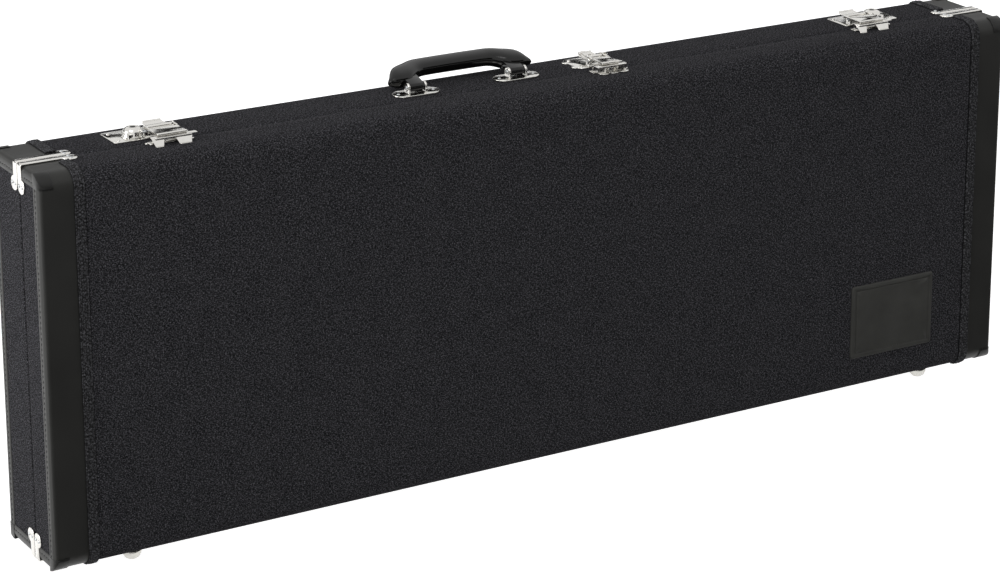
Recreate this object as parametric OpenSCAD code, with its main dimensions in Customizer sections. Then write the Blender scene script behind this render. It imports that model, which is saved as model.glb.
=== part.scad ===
// Rectangular hardshell guitar case, standing on its hinge side.
// +X runs along the length, -Y faces the lid, +Z is up towards the handle.
// The origin lies on the floor, below the middle of the case.

/* [Case] */
// Length over the vinyl ends
case_len = 1056; // [960:1:1200]
// Height of the covered box as it stands, without the feet
case_h = 371; // [320:1:440]
// Depth of the lid half
lid_d = 46; // [40:1:70]
// Depth of the base half
base_d = 62; // [56:1:90]
// Radius of the long edges on the lid side
lid_edge_r = 15; // [10:0.5:20]
// Radius of the long edges on the base side
base_edge_r = 10; // [8:0.5:20]
// Radius of the upright corners of the end faces
end_edge_r = 5; // [2:0.5:8]

/* [Walls] */
// Thickness of the denim and vinyl covering
cover_t = 1.2; // [0.8:0.1:2]
// Thickness of the plywood
ply_t = 5; // [4:0.5:7]
// Thickness of the padded lining
lining_t = 6; // [4:0.5:10]
// Thickness of the locating lip inside the base rim
lip_t = 2; // [1.5:0.1:3]
// How far the lip reaches into the lid
lip_reach = 7; // [4:0.5:10]
// Gap between the two rims
rim_gap = 0.6; // [0.4:0.1:1.5]

/* [Trim] */
// Distance from the end face to the middle of a trim band
band_from_end = 37; // [30:1:60]
// Width of a trim band
band_w = 11; // [8:0.5:16]
// Height of a trim band above the covering
band_t = 3; // [2:0.1:4]
// Width of the vinyl border on the end faces
end_border = 17; // [12:1:24]
// Size of the black corner caps
cap_size = 13; // [9:1:18]
// Thickness of the black corner caps
cap_t = 0.9; // [0.6:0.1:1.5]
// Width of the leather patch
patch_w = 103; // [70:1:140]
// Height of the leather patch
patch_h = 78; // [50:1:100]
// Thickness of the leather patch
patch_t = 2.4; // [1.5:0.1:4]
// Patch middle from the right end face
patch_from_end = 133; // [110:1:200]
// Patch middle above the bottom of the box
patch_up = 74; // [60:1:120]

/* [Corner clamps] */
// Width of each clamp strip
clamp_w = 8; // [6:0.5:10]
// Thickness of the clamp strips
clamp_t = 1.5; // [1:0.1:2.5]
// Reach of a clamp along the top or the spine
clamp_long = 52; // [40:1:60]
// Reach of a clamp along the end face
clamp_short = 26; // [20:1:40]
// Radius of the nailed tab at each clamp end
clamp_tab_r = 7; // [5:0.5:8]

/* [Feet and hinges] */
// Height of the feet
foot_h = 9; // [8:0.5:14]
// Radius of the feet where they meet the case
foot_r = 9; // [6:0.5:12]
// Distance of the feet from the end faces
foot_from_end = 81; // [60:1:120]
// Distance of the feet from the parting line
foot_off = 27; // [20:1:30]
// Radius of the hinge knuckles
knuckle_r = 3.4; // [2.8:0.1:3.8]
// Radius of the hinge pins
hinge_pin_r = 1.5; // [1:0.1:1.8]
// Length of one hinge
hinge_len = 65; // [45:1:90]
// Width of one hinge leaf
leaf_w = 18; // [12:1:24]
// Thickness of the hinge leaves
leaf_t = 1.4; // [1:0.1:2]
// Distance between the outer hinges and the middle one
hinge_pitch = 320; // [240:5:380]

/* [Latches] */
// Distance from the case middle to the middle of a side latch
latch_x = 400; // [340:1:430]
// Length of a side latch plate along the case
latch_w = 65; // [56:1:80]
// Depth of the latch and lock plates
plate_d = 35; // [30:1:44]
// Distance of the lock middle from the case middle
lock_x = 74; // [60:1:120]
// Length of the lock plate along the case
lock_w = 46; // [40:1:60]
// Thickness of the latch and lock plates
plate_t = 1.4; // [1:0.1:2]
// Height of a lever pivot above its plate
pivot_h = 4.6; // [4.2:0.1:6]
// Radius of the lever pivot pins
pivot_pin_r = 1.2; // [1:0.1:1.4]
// Width of a side latch lever
lever_w = 25; // [20:1:26]
// Width of the lock lever
lock_lever_w = 15; // [12:1:18]
// Length of a lever from its pivot
lever_l = 28; // [22:1:30]
// Lift of a closed lever above the plate
lever_tilt = 14; // [8:1:20]

/* [Handle] */
// Distance of the handle middle from the case middle
handle_x = -70; // [-90:1:-50]
// Distance between the middles of the two pivots
handle_span = 109; // [90:1:130]
// Distance of the pivots from the parting line
handle_off = 17; // [15:0.5:22]
// Length of the grip
grip_len = 152; // [130:1:180]
// Distance from the pivot to the middle of the grip
grip_reach = 31; // [28:1:34]
// Width of the grip, across the pull
grip_w = 15; // [12:0.5:18]
// Depth of the grip, along the pull
grip_h = 20; // [16:0.5:22]
// Lean of the resting handle, back from upright
handle_lean = 73; // [60:1:76]
// Length of a handle plate
handle_plate_l = 48; // [44:1:60]
// Depth of a handle plate
handle_plate_d = 22; // [18:1:26]
// Radius of the handle pins
handle_pin_r = 2; // [1.5:0.1:2.5]
// Width of a pivot block between its ears
block_w = 15; // [12:0.5:18]

/* [Inside] */
// Length of the accessory compartment
comp_len = 270; // [200:5:300]
// Height of the accessory compartment
comp_h = 122; // [90:1:126]
// Wall thickness of the compartment
comp_wall = 5; // [4:0.5:8]
// Length of the neck rest
rest_len = 60; // [40:1:90]
// Height of the neck rest
rest_h = 112; // [90:1:140]
// Radius of the neck channel
neck_r = 30; // [26:1:36]
// Length of the shoulder cushions
cushion_len = 90; // [60:1:120]
// Height of the shoulder cushions
cushion_h = 70; // [50:1:90]

/* [Hidden] */
$fn = 48;
// Gaps that keep separate pieces apart: glued, turning in a bore, and resting
glue = 0.1;
fit = 0.05;
seat = 0.3;
eps = 0.01;
// Reach of the boxes that cut the case into its pieces
far = 700;
over = 50;
// Smallest radius left on an inner layer
min_r = 0.5;

case_d = lid_d + base_d;
front_y = -case_d / 2;
back_y = case_d / 2;
part_y = front_y + lid_d;
top_z = foot_h + case_h;
mid_z = foot_h + case_h / 2;
half_x = case_len / 2;

// Depth below the outer surface at which each layer starts
ply_in = cover_t + glue;
lining_in = ply_in + ply_t + glue;
lip_clear = 0.8;
lip_in = lining_in + lip_clear + lip_t;
// The lip is glued from its step to its root, and free above the step
lip_step = 1;
lip_root = 15;
room_in = lip_in + glue + lining_t;
lid_room_in = lining_in + lining_t;
room_bottom = foot_h + room_in;
room_top = top_z - room_in;
room_back = back_y - room_in;

band_x = half_x - band_from_end;
clamp_room = 2 * clamp_tab_r + 1;
clamp_bend_r = 2;
axis_z = foot_h - knuckle_r - glue;
knuckle_gap = 0.4;
knuckle_pitch = hinge_len / 5;
foot_x = half_x - foot_from_end;
foot_flat_r = foot_r * 0.5;
cap_over = 5;

patch_x = half_x - patch_from_end;
patch_z = foot_h + patch_up;
border_in = 5;

pivot_y = part_y + 14;
pivot_z = top_z + plate_t + pivot_h;
lever_t = 1.3;
roll_r = pivot_pin_r + 1.4;
curl_r = 1.4;
// The link's pin rides on the lever, behind and above the lever's pivot
link_dy = 5;
link_dz = 3;
link_pin_r = 1;
link_t = 1.5;
arm_t = 1.4;
arm_gap = 0.5;
cheek_t = 1.5;
strike_d = 13;
strike_t = 1.4;
strike_leg = 9;
strike_lap = 3;
// Distance from a side latch's middle to the outer end of its plate
plate_end = 22;
plate_off = 8.5;
spring_r = 4;
spring_h = 5.5;
block_l = 9;
block_d = 17;
block_h = 4;
cheek_r = 3;
key_r = 3.2;
key_barrel_r = 5;
key_in = 7;
key_off = 30;
rivet_near = 14;
rivet_far = 38;

handle_y = part_y + handle_off;
ear_t = 2;
ear_r = 4.5;
ear_gap = 0.4;
handle_plate_t = 2;
handle_axis_z = top_z + handle_plate_t + 5;
block_r = 4;

rest_x = -240;
cushion_gap = 22;
comp_x0 = rest_x + 4;
comp_front = part_y + 8;
comp_lid_t = 3.5;
comp_pin_r = 1.2;
comp_roll_r = 2.6;
// The box's knuckles at the ends of the lid's long one
comp_knuckle = 12;
comp_knuckle_in = 8;
comp_lid_in = 22;
comp_top = room_bottom + comp_h;
pull_w = 16;
pull_h = 24;
pull_t = 1.2;
comp_axis_y = comp_front - comp_roll_r - seat;
comp_axis_z = comp_top - comp_roll_r;
nail_r = 1.7;
nail_crown_r = 1;
nail_h = 0.9;
// Distance of a clamp's two nails from the middle of its tab
nail_off = 3.4;

// ---- Shapes that the case is cut from ----

// Outline of the closed case seen from its end, drawn with Y to the right and Z up
module side_outline(inset) {
    fr = max(lid_edge_r - inset, min_r);
    br = max(base_edge_r - inset, min_r);
    y0 = front_y + inset;
    y1 = back_y - inset;
    z0 = foot_h + inset;
    z1 = top_z - inset;
    union() {
        translate([y0 + fr, z0]) square([y1 - br - y0 - fr, z1 - z0]);
        translate([y0, z0 + fr]) square([fr + eps, z1 - z0 - 2 * fr]);
        translate([y1 - br - eps, z0 + br]) square([br + eps, z1 - z0 - 2 * br]);
        for (z = [z0 + fr, z1 - fr]) translate([y0 + fr, z]) circle(r = fr);
        for (z = [z0 + br, z1 - br]) translate([y1 - br, z]) circle(r = br);
    }
}

// Outline of the closed case seen from above
module plan_outline(inset) {
    r = max(end_edge_r - inset, min_r);
    x = half_x - inset;
    y = case_d / 2 - inset;
    union() {
        square([2 * (x - r), 2 * y], center = true);
        square([2 * x, 2 * (y - r)], center = true);
        for (sx = [-1, 1], sy = [-1, 1]) translate([sx * (x - r), sy * (y - r)]) circle(r = r);
    }
}

// The whole closed case, shrunk by the inset on every side
module case_block(inset) {
    intersection() {
        rotate([90, 0, 90])
            linear_extrude(height = 2 * (half_x - inset), center = true) side_outline(inset);
        linear_extrude(height = top_z + over) plan_outline(inset);
    }
}

// One layer of the case, between two depths below the surface
module layer(outer, inner) {
    difference() {
        case_block(outer);
        case_block(inner);
    }
}

// A box between two places along X, deeper and taller than the case
module across(x0, x1) {
    translate([x0, -case_d, -over]) cube([x1 - x0, 2 * case_d, top_z + 2 * over]);
}

// A box between two places along Y, longer and taller than the case
module along(y0, y1) {
    translate([-far, y0, -over]) cube([2 * far, y1 - y0, top_z + 2 * over]);
}

// Everything on the lid side or on the base side of the parting line
module lid_zone(gap = rim_gap / 2) { along(front_y - over, part_y - gap); }

module base_zone() { along(part_y + rim_gap / 2, back_y + over); }

// Window of the denim panel in an end face
module end_window() {
    translate([-far, front_y + end_border, foot_h + end_border])
        cube([2 * far, case_d - 2 * end_border, case_h - 2 * end_border]);
}

module nail() {
    cylinder(h = nail_h, r1 = nail_r, r2 = nail_crown_r, $fn = 20);
}

// Copies its child to both ends of the case, mirrored
module both_ends() {
    children();
    mirror([1, 0, 0]) children();
}

// ---- Covering, shell and lining ----

module covering_middle() {
    intersection() {
        layer(0, cover_t);
        across(-band_x + glue, band_x - glue);
    }
}

module covering_ends() {
    difference() {
        layer(0, cover_t);
        across(-band_x - glue, band_x + glue);
        end_window();
    }
}

module end_panels() {
    intersection() {
        layer(0, cover_t);
        difference() {
            end_window();
            across(-half_x + cover_t + eps, half_x - cover_t - eps);
        }
    }
}

// The bands stop short of the clamps on the top and on the spine
module trim_bands() {
    difference() {
        intersection() {
            layer(-band_t, -fit);
            both_ends() across(band_x - band_w / 2, band_x + band_w / 2);
        }
        along(part_y - clamp_room, part_y + clamp_room);
    }
}

module base_shell() {
    color("#b08a5a") intersection() { layer(ply_in, ply_in + ply_t); base_zone(); }
}

module base_cover() {
    color("#303036") intersection() { covering_middle(); base_zone(); }
}

module base_end_covers() {
    color("#232323") intersection() { covering_ends(); base_zone(); }
}

module base_end_panels() {
    color("#303036") intersection() { end_panels(); base_zone(); }
}

module base_trim_bands() {
    color("#3a3a3e") intersection() { trim_bands(); base_zone(); }
}

module lid_shell() {
    color("#b08a5a") intersection() { layer(ply_in, ply_in + ply_t); lid_zone(); }
}

module lid_cover() {
    color("#303036") intersection() { covering_middle(); lid_zone(); }
}

module lid_end_covers() {
    color("#232323") intersection() { covering_ends(); lid_zone(); }
}

module lid_end_panels() {
    color("#303036") intersection() { end_panels(); lid_zone(); }
}

module lid_trim_bands() {
    color("#3a3a3e") intersection() { trim_bands(); lid_zone(); }
}

// A thin frame inside the base rim that guides the lid as it closes
module rim_lip() {
    color("#1c1c1e") union() {
        intersection() {
            layer(lining_in, lip_in);
            along(part_y + lip_step, part_y + lip_root);
        }
        intersection() {
            layer(lining_in + lip_clear, lip_in);
            along(part_y - lip_reach, part_y + lip_step + eps);
        }
    }
}

module base_lining() {
    color("#3b3b40") intersection() {
        layer(lip_in + glue, room_in);
        along(part_y + 0.5, back_y);
    }
}

module lid_lining() {
    color("#3b3b40") intersection() {
        layer(lining_in, lid_room_in);
        lid_zone(lip_reach + 1.5);
    }
}

// ---- Padding and compartment inside the base ----

module neck_rest() {
    color("#3b3b40") difference() {
        translate([rest_x - rest_len, comp_front, mid_z - rest_h / 2])
            cube([rest_len, room_back - seat - comp_front, rest_h]);
        translate([rest_x - rest_len / 2, comp_front, mid_z]) rotate([0, 90, 0])
            cylinder(h = rest_len + 2, r = neck_r, center = true);
    }
}

// Two blocks that hold the shoulders of the instrument's body
module body_cushions() {
    x0 = comp_x0 + comp_len + cushion_gap;
    color("#3b3b40") for (s = [-1, 1])
        difference() {
            translate([x0, comp_front, s < 0 ? room_bottom + seat : room_top - seat - cushion_h])
                cube([cushion_len, room_back - seat - comp_front, cushion_h]);
            translate([x0 + cushion_len, 0, mid_z + s * (case_h / 2 - room_in - cushion_h)])
                rotate([90, 0, 0]) cylinder(h = 2 * case_d, r = cushion_h * 0.75, center = true);
        }
}

module compartment_box() {
    z0 = room_bottom + seat;
    depth = room_back - seat - comp_front;
    color("#2e2e32") difference() {
        translate([comp_x0, comp_front, z0]) cube([comp_len, depth, comp_h]);
        translate([comp_x0 + comp_wall, comp_front - 1, z0 + comp_wall])
            cube([comp_len - 2 * comp_wall, depth + 2 - comp_wall, comp_h - 2 * comp_wall]);
    }
    // Knuckles that carry the compartment lid's pin
    color("#2e2e32")
    for (x = [comp_x0 + comp_knuckle_in, comp_x0 + comp_len - comp_knuckle_in - comp_knuckle])
        difference() {
            union() {
                translate([x, comp_axis_y, comp_axis_z]) rotate([0, 90, 0]) cylinder(h = comp_knuckle, r = comp_roll_r);
                translate([x, comp_axis_y, comp_axis_z]) cube([comp_knuckle, comp_roll_r + seat + 0.5, comp_roll_r]);
            }
            translate([x - 1, comp_axis_y, comp_axis_z]) rotate([0, 90, 0]) cylinder(h = comp_knuckle + 2, r = comp_pin_r + fit);
        }
}

module compartment_hinge_pin() {
    color("silver") translate([comp_x0 + 6, comp_axis_y, comp_axis_z]) rotate([0, 90, 0])
        cylinder(h = comp_len - 12, r = comp_pin_r);
}

module compartment_lid() {
    drop = comp_h - comp_roll_r - 8;
    color("#34343a") difference() {
        union() {
            translate([comp_x0 + 2, comp_front - seat - comp_lid_t, comp_axis_z - drop])
                cube([comp_len - 4, comp_lid_t, drop - comp_roll_r - 1]);
            translate([comp_x0 + comp_lid_in, comp_axis_y, comp_axis_z]) rotate([0, 90, 0])
                cylinder(h = comp_len - 2 * comp_lid_in, r = comp_roll_r);
            translate([comp_x0 + comp_lid_in, comp_axis_y - 1, comp_axis_z - comp_roll_r - 2])
                cube([comp_len - 2 * comp_lid_in, 2, comp_roll_r + 2]);
        }
        translate([comp_x0, comp_axis_y, comp_axis_z]) rotate([0, 90, 0])
            cylinder(h = comp_len, r = comp_pin_r + fit);
    }
}

// Ribbon tab that lifts the compartment lid
module compartment_pull() {
    color("#151517") translate([comp_x0 + comp_len / 2 - pull_w / 2, comp_front - seat - comp_lid_t - pull_t,
                                comp_axis_z - comp_h + comp_roll_r + 4])
        cube([pull_w, pull_t, pull_h]);
}

// ---- Feet and hinges on the spine ----

module foot() {
    rotate_extrude() polygon([[0, 0], [foot_flat_r, 0], [foot_r * 0.82, foot_h * 0.25],
                              [foot_r, foot_h * 0.7], [foot_r, foot_h], [0, foot_h]]);
}

module base_feet() {
    color("#8c8f92") both_ends() translate([foot_x, part_y + foot_off, 0]) foot();
}

module lid_feet() {
    color("#8c8f92") both_ends() translate([foot_x, part_y - foot_off, 0]) foot();
}

// Knuckle number k of five along one hinge
module knuckle(k) {
    translate([-hinge_len / 2 + k * knuckle_pitch + knuckle_gap / 2, 0, 0]) rotate([0, 90, 0])
        difference() {
            cylinder(h = knuckle_pitch - knuckle_gap, r = knuckle_r);
            translate([0, 0, -1]) cylinder(h = knuckle_pitch + 2, r = hinge_pin_r + fit);
        }
}

// Half of a hinge: side is 1 for the base leaf and -1 for the lid leaf
module hinge_half(side, knuckles) {
    z1 = foot_h - axis_z - fit;
    for (k = knuckles) {
        knuckle(k);
        difference() {
            translate([-hinge_len / 2 + k * knuckle_pitch + knuckle_gap / 2,
                       side > 0 ? 0 : -knuckle_r - 1, z1 - leaf_t])
                cube([knuckle_pitch - knuckle_gap, knuckle_r + 1, leaf_t]);
            rotate([0, 90, 0]) cylinder(h = hinge_len + 2, r = hinge_pin_r + fit, center = true);
        }
    }
    translate([-hinge_len / 2, side > 0 ? knuckle_r + 0.5 : -knuckle_r - 0.5 - leaf_w, z1 - leaf_t])
        cube([hinge_len, leaf_w, leaf_t]);
}

module at_hinges() {
    for (i = [-1, 0, 1]) translate([i * hinge_pitch, part_y, axis_z]) children();
}

module base_hinge_leaves() {
    color("silver") at_hinges() hinge_half(1, [0, 2, 4]);
}

module lid_hinge_leaves() {
    color("silver") at_hinges() hinge_half(-1, [1, 3]);
}

module hinge_pins() {
    color("#9a9a9a") at_hinges() rotate([0, 90, 0])
        cylinder(h = hinge_len - knuckle_gap, r = hinge_pin_r, center = true);
}

// ---- Corner clamps ----

// One clamp strip at the top right corner, on the side of the parting line that side names
module clamp_strip(side) {
    y0 = side > 0 ? part_y + rim_gap : part_y - rim_gap - clamp_w;
    tab_y = side > 0 ? y0 + clamp_tab_r : y0 + clamp_w - clamp_tab_r;
    translate([0, y0 + clamp_w, 0]) rotate([90, 0, 0]) linear_extrude(height = clamp_w)
        clamp_profile();
    translate([half_x - clamp_long + clamp_tab_r, tab_y, top_z]) cylinder(h = clamp_t, r = clamp_tab_r);
    translate([half_x, tab_y, top_z - clamp_short + clamp_tab_r]) rotate([0, 90, 0])
        cylinder(h = clamp_t, r = clamp_tab_r);
}

// The strip's bent outline, drawn with X to the right and Z up
module clamp_profile() {
    r = clamp_bend_r;
    difference() {
        union() {
            translate([half_x - clamp_long + clamp_tab_r, top_z])
                square([clamp_long - clamp_tab_r + clamp_t - r, clamp_t]);
            translate([half_x, top_z - clamp_short + clamp_tab_r])
                square([clamp_t, clamp_short - clamp_tab_r + clamp_t - r]);
            translate([half_x + clamp_t - r, top_z + clamp_t - r]) circle(r = r);
            translate([half_x - 4, top_z - 4]) square([4 + clamp_t - r, 4 + clamp_t]);
            translate([half_x - 4, top_z - 4]) square([4 + clamp_t, 4 + clamp_t - r]);
        }
        translate([half_x - over, top_z - over]) square([over, over]);
    }
}

module clamp_nails(side) {
    y0 = side > 0 ? part_y + rim_gap : part_y - rim_gap - clamp_w;
    tab_y = side > 0 ? y0 + clamp_tab_r : y0 + clamp_w - clamp_tab_r;
    for (d = [-1, 1]) {
        translate([half_x - clamp_long + clamp_tab_r, tab_y + nail_off * d, top_z + clamp_t]) nail();
        translate([half_x + clamp_t, tab_y + nail_off * d, top_z - clamp_short + clamp_tab_r])
            rotate([0, 90, 0]) nail();
    }
}

// Copies its child from the top right corner to all four corners
module all_corners() {
    both_ends() {
        children();
        translate([0, 0, 2 * mid_z]) mirror([0, 0, 1]) children();
    }
}

module base_clamps() { color("silver") all_corners() clamp_strip(1); }

module lid_clamps() { color("silver") all_corners() clamp_strip(-1); }

module base_clamp_nails() { color("#c8c8c8") all_corners() clamp_nails(1); }

module lid_clamp_nails() { color("#c8c8c8") all_corners() clamp_nails(-1); }

module corner_caps(y0) {
    intersection() {
        layer(-cap_t, -fit);
        all_corners() translate([half_x - cap_size, y0, top_z - cap_size])
            cube(cap_size + cap_over);
    }
}

module base_corner_caps() { color("#0c0c0c") corner_caps(back_y - cap_size); }

module lid_corner_caps() { color("#0c0c0c") corner_caps(front_y - cap_over); }

// ---- Side latches and centre lock ----

// A rectangle with rounded corners, from the origin
module rounded_plate(w, d, t, r) {
    linear_extrude(height = t) union() {
        translate([r, 0]) square([w - 2 * r, d]);
        translate([0, r]) square([w, d - 2 * r]);
        for (x = [r, w - r], y = [r, d - r]) translate([x, y]) circle(r = r);
    }
}

// Upright ears of the plate, either side of the lever, bored for its pin
module lever_cheeks(w) {
    z = plate_t + pivot_h;
    reach = w / 2 + arm_t + 2 * arm_gap;
    for (s = [-1, 1]) difference() {
        union() {
            translate([s > 0 ? reach : -reach - cheek_t, pivot_y - cheek_r, top_z + plate_t - eps])
                cube([cheek_t, 2 * cheek_r, pivot_h]);
            translate([s > 0 ? reach : -reach - cheek_t, pivot_y, top_z + z]) rotate([0, 90, 0])
                cylinder(h = cheek_t, r = cheek_r);
        }
        translate([0, pivot_y, top_z + z]) rotate([0, 90, 0])
            cylinder(h = 2 * over, r = pivot_pin_r + fit, center = true);
    }
}

module lever_pin(w) {
    reach = w / 2 + arm_t + 2 * arm_gap + cheek_t;
    translate([0, pivot_y, pivot_z]) rotate([0, 90, 0])
        cylinder(h = 2 * reach, r = pivot_pin_r, center = true);
}

// Lever with its rolled front edge, the tube for the link pin and the curled thumb end
module lever(w, hole) {
    translate([0, pivot_y, pivot_z]) difference() {
        rotate([90, 0, 90]) linear_extrude(height = w, center = true) lever_outline();
        if (hole) rotate([lever_tilt, 0, 0]) translate([0, lever_l * 0.6, 0])
            cylinder(h = 6, r = w * 0.22, center = true);
    }
}

// The lever seen from its side, drawn with Y to the right and Z up
module lever_outline() {
    difference() {
        union() {
            circle(r = roll_r);
            translate([link_dy, link_dz]) circle(r = link_pin_r + 1.1);
            rotate(lever_tilt) translate([0, -lever_t / 2]) square([lever_l, lever_t]);
            rotate(lever_tilt) translate([lever_l, 0.3]) circle(r = curl_r);
        }
        circle(r = pivot_pin_r + fit);
        translate([link_dy, link_dz]) circle(r = link_pin_r + fit);
    }
}

module link_pin(w) {
    translate([0, pivot_y + link_dy, pivot_z + link_dz]) rotate([0, 90, 0])
        cylinder(h = w + 2 * arm_gap + 2 * arm_t, r = link_pin_r, center = true);
}

// Link that reaches from the lever over the parting line to the strike
module link(w) {
    y2 = pivot_y + link_dy;
    z2 = pivot_z + link_dz;
    bar_y = part_y - 9;
    bar_end = pivot_y - roll_r - 1.5;
    half = w / 2 + arm_gap + arm_t;
    difference() {
        union() {
            for (s = [-1, 1]) {
                translate([s > 0 ? half - arm_t : -half, bar_end - 1, z2 - 1.1])
                    cube([arm_t, y2 - bar_end + 1, 2.2]);
                translate([s > 0 ? half - arm_t : -half, y2, z2]) rotate([0, 90, 0])
                    cylinder(h = arm_t, r = link_pin_r + 1);
            }
            translate([-half, bar_y, z2 - 1.1]) cube([2 * half, bar_end - bar_y, link_t]);
            translate([0, bar_y, z2 - 0.35]) rotate([0, 90, 0]) cylinder(h = 2 * half, r = 1.4, center = true);
        }
        translate([0, y2, z2]) rotate([0, 90, 0]) cylinder(h = 2 * over, r = link_pin_r + fit, center = true);
    }
}

// Raised bridge on the lid that the link closes over, standing on two legs
module strike(w, lobes) {
    bridge_z = pivot_z + link_dz - 1.75 - seat - strike_t;
    y1 = part_y - 1;
    y0 = y1 - strike_d;
    translate([-w / 2, y0, bridge_z]) rounded_plate(w, strike_d, strike_t, 2);
    for (x = [-w / 2 + 1, w / 2 - 1 - strike_leg])
        translate([x, y0 + 1, top_z]) cube([strike_leg, strike_d - 3, bridge_z - top_z + eps]);
    if (lobes) for (i = [-1, 0, 1])
        translate([i * w * 0.32, y0 - 1, top_z]) cylinder(h = plate_t, r = w * 0.17);
    translate([-w / 2 - strike_lap, y0 + 3, top_z])
        rounded_plate(w + 2 * strike_lap, strike_d - 4, plate_t, 2);
}

// The side latch's own place, drawn for the left side
module at_left() { translate([-latch_x + 10, 0, 0]) children(); }
module at_right() { mirror([1, 0, 0]) at_left() children(); }
module at_lock() { translate([lock_x, 0, 0]) children(); }

module side_plate() {
    x0 = plate_end - latch_w;
    translate([x0, part_y + plate_off, top_z]) rounded_plate(latch_w, plate_d, plate_t, 3);
    translate([x0 + 15, part_y + 13, top_z + plate_t - eps]) cube([block_l, block_d, block_h]);
    // Round spring housing on the raised block
    translate([x0 + 15 + block_l / 2, part_y + 21, top_z + plate_t]) cylinder(h = spring_h, r = spring_r);
    lever_cheeks(lever_w);
}

module latch_plate_left() { color("silver") at_left() side_plate(); }
module latch_plate_right() { color("silver") at_right() side_plate(); }
module latch_pin_left() { color("#9a9a9a") at_left() lever_pin(lever_w); }
module latch_pin_right() { color("#9a9a9a") at_right() lever_pin(lever_w); }
module latch_lever_left() { color("silver") at_left() lever(lever_w, false); }
module latch_lever_right() { color("silver") at_right() lever(lever_w, false); }
module latch_link_left() { color("silver") at_left() link(lever_w); }
module latch_link_right() { color("silver") at_right() link(lever_w); }
module latch_link_pin_left() { color("#9a9a9a") at_left() link_pin(lever_w); }
module latch_link_pin_right() { color("#9a9a9a") at_right() link_pin(lever_w); }
module strike_left() { color("silver") at_left() strike(lever_w + 12, false); }
module strike_right() { color("silver") at_right() strike(lever_w + 12, false); }

module side_rivets() {
    for (y = [rivet_near, rivet_far])
        translate([plate_end - latch_w + 6, part_y + y, top_z + plate_t]) nail();
    translate([plate_end - 5, part_y + rivet_far, top_z + plate_t]) nail();
}

module latch_rivets() {
    color("#c8c8c8") {
        at_left() side_rivets();
        at_right() side_rivets();
    }
}

// Centre lock: a lobed plate, a spoon shaped lever and a key barrel
module lock_plate() {
    color("silver") at_lock() difference() {
        union() {
            translate([-lock_w / 2, part_y + plate_off, top_z]) rounded_plate(lock_w, plate_d, plate_t, 6);
            for (s = [-1, 1], k = [0.25, 0.75])
                translate([s * lock_w / 2, part_y + plate_off + plate_d * k, top_z]) cylinder(h = plate_t, r = 4);
            translate([lock_w / 2 - key_in, part_y + key_off, top_z + plate_t - eps])
                cylinder(h = 5, r = key_barrel_r);
            lever_cheeks(lock_lever_w);
        }
        translate([lock_w / 2 - key_in, part_y + key_off, top_z + 1]) cylinder(h = 12, r = key_r + fit);
    }
}

module key_plug() {
    color("#b9b9b9") at_lock() translate([lock_w / 2 - key_in, part_y + key_off, top_z + 1 + fit]) difference() {
        cylinder(h = 5.2, r = key_r);
        translate([-0.5, -2, 2.2]) cube([1, 4, 4]);
    }
}

module lock_pin() { color("#9a9a9a") at_lock() lever_pin(lock_lever_w); }
module lock_lever() { color("silver") at_lock() lever(lock_lever_w, true); }
module lock_link() { color("silver") at_lock() link(lock_lever_w); }
module lock_link_pin() { color("#9a9a9a") at_lock() link_pin(lock_lever_w); }
module strike_lock() { color("silver") at_lock() strike(lock_lever_w + 19, true); }

module lock_rivets() {
    color("#c8c8c8") at_lock() {
        for (s = [-1, 1])
            translate([s * (lock_w / 2 - 5), part_y + rivet_near, top_z + plate_t]) nail();
        translate([5 - lock_w / 2, part_y + rivet_far, top_z + plate_t]) nail();
    }
}

module strike_nails() {
    for (s = [-1, 1]) translate([s * (lever_w / 2 + 7), part_y - 7, top_z + plate_t]) nail();
}

module strike_rivets() {
    color("#c8c8c8") {
        at_left() strike_nails();
        at_right() strike_nails();
    }
}

// ---- Handle ----

module at_pivots() {
    for (s = [-1, 1]) translate([handle_x + s * handle_span / 2, handle_y, 0]) children();
}

// An oval plate with two ears that hold the pivot block
module handle_plates() {
    color("silver") at_pivots() difference() {
        union() {
            translate([0, 0, top_z]) linear_extrude(height = handle_plate_t) union() {
                square([handle_plate_l - handle_plate_d, handle_plate_d], center = true);
                for (s = [-1, 1]) translate([s * (handle_plate_l - handle_plate_d) / 2, 0])
                    circle(r = handle_plate_d / 2);
            }
            for (s = [-1, 1]) translate([s * (block_w / 2 + ear_gap + ear_t / 2), 0, 0]) {
                translate([-ear_t / 2, -ear_r, top_z + handle_plate_t - eps])
                    cube([ear_t, 2 * ear_r, handle_axis_z - top_z - handle_plate_t]);
                translate([-ear_t / 2, 0, handle_axis_z]) rotate([0, 90, 0]) cylinder(h = ear_t, r = ear_r);
            }
        }
        translate([0, 0, handle_axis_z]) rotate([0, 90, 0])
            cylinder(h = 40, r = handle_pin_r + fit, center = true);
    }
}

module handle_pins() {
    color("#9a9a9a") at_pivots() translate([0, 0, handle_axis_z]) rotate([0, 90, 0])
        cylinder(h = block_w + 2 * ear_t + 2.4, r = handle_pin_r, center = true);
}

module handle_nails() {
    color("#c8c8c8") at_pivots() for (s = [-1, 1])
        translate([s * (handle_plate_l / 2 - 5.5), 0, top_z + handle_plate_t]) nail();
}

// Turns its child from upright to the resting lean about the handle's pivots
module leaning() {
    translate([handle_x, handle_y, handle_axis_z]) rotate([-handle_lean, 0, 0]) children();
}

// Blocks that turn on the pins, each with a neck up into the grip
module handle_blocks() {
    color("#131313") leaning() for (s = [-1, 1]) translate([s * handle_span / 2, 0, 0]) difference() {
        union() {
            rotate([0, 90, 0]) cylinder(h = block_w, r = block_r, center = true);
            translate([-block_w / 2, -block_r, 0]) cube([block_w, 2 * block_r, grip_reach - grip_h / 2 - 1 - glue]);
        }
        rotate([0, 90, 0]) cylinder(h = block_w + 2, r = handle_pin_r + fit, center = true);
    }
}

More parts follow.
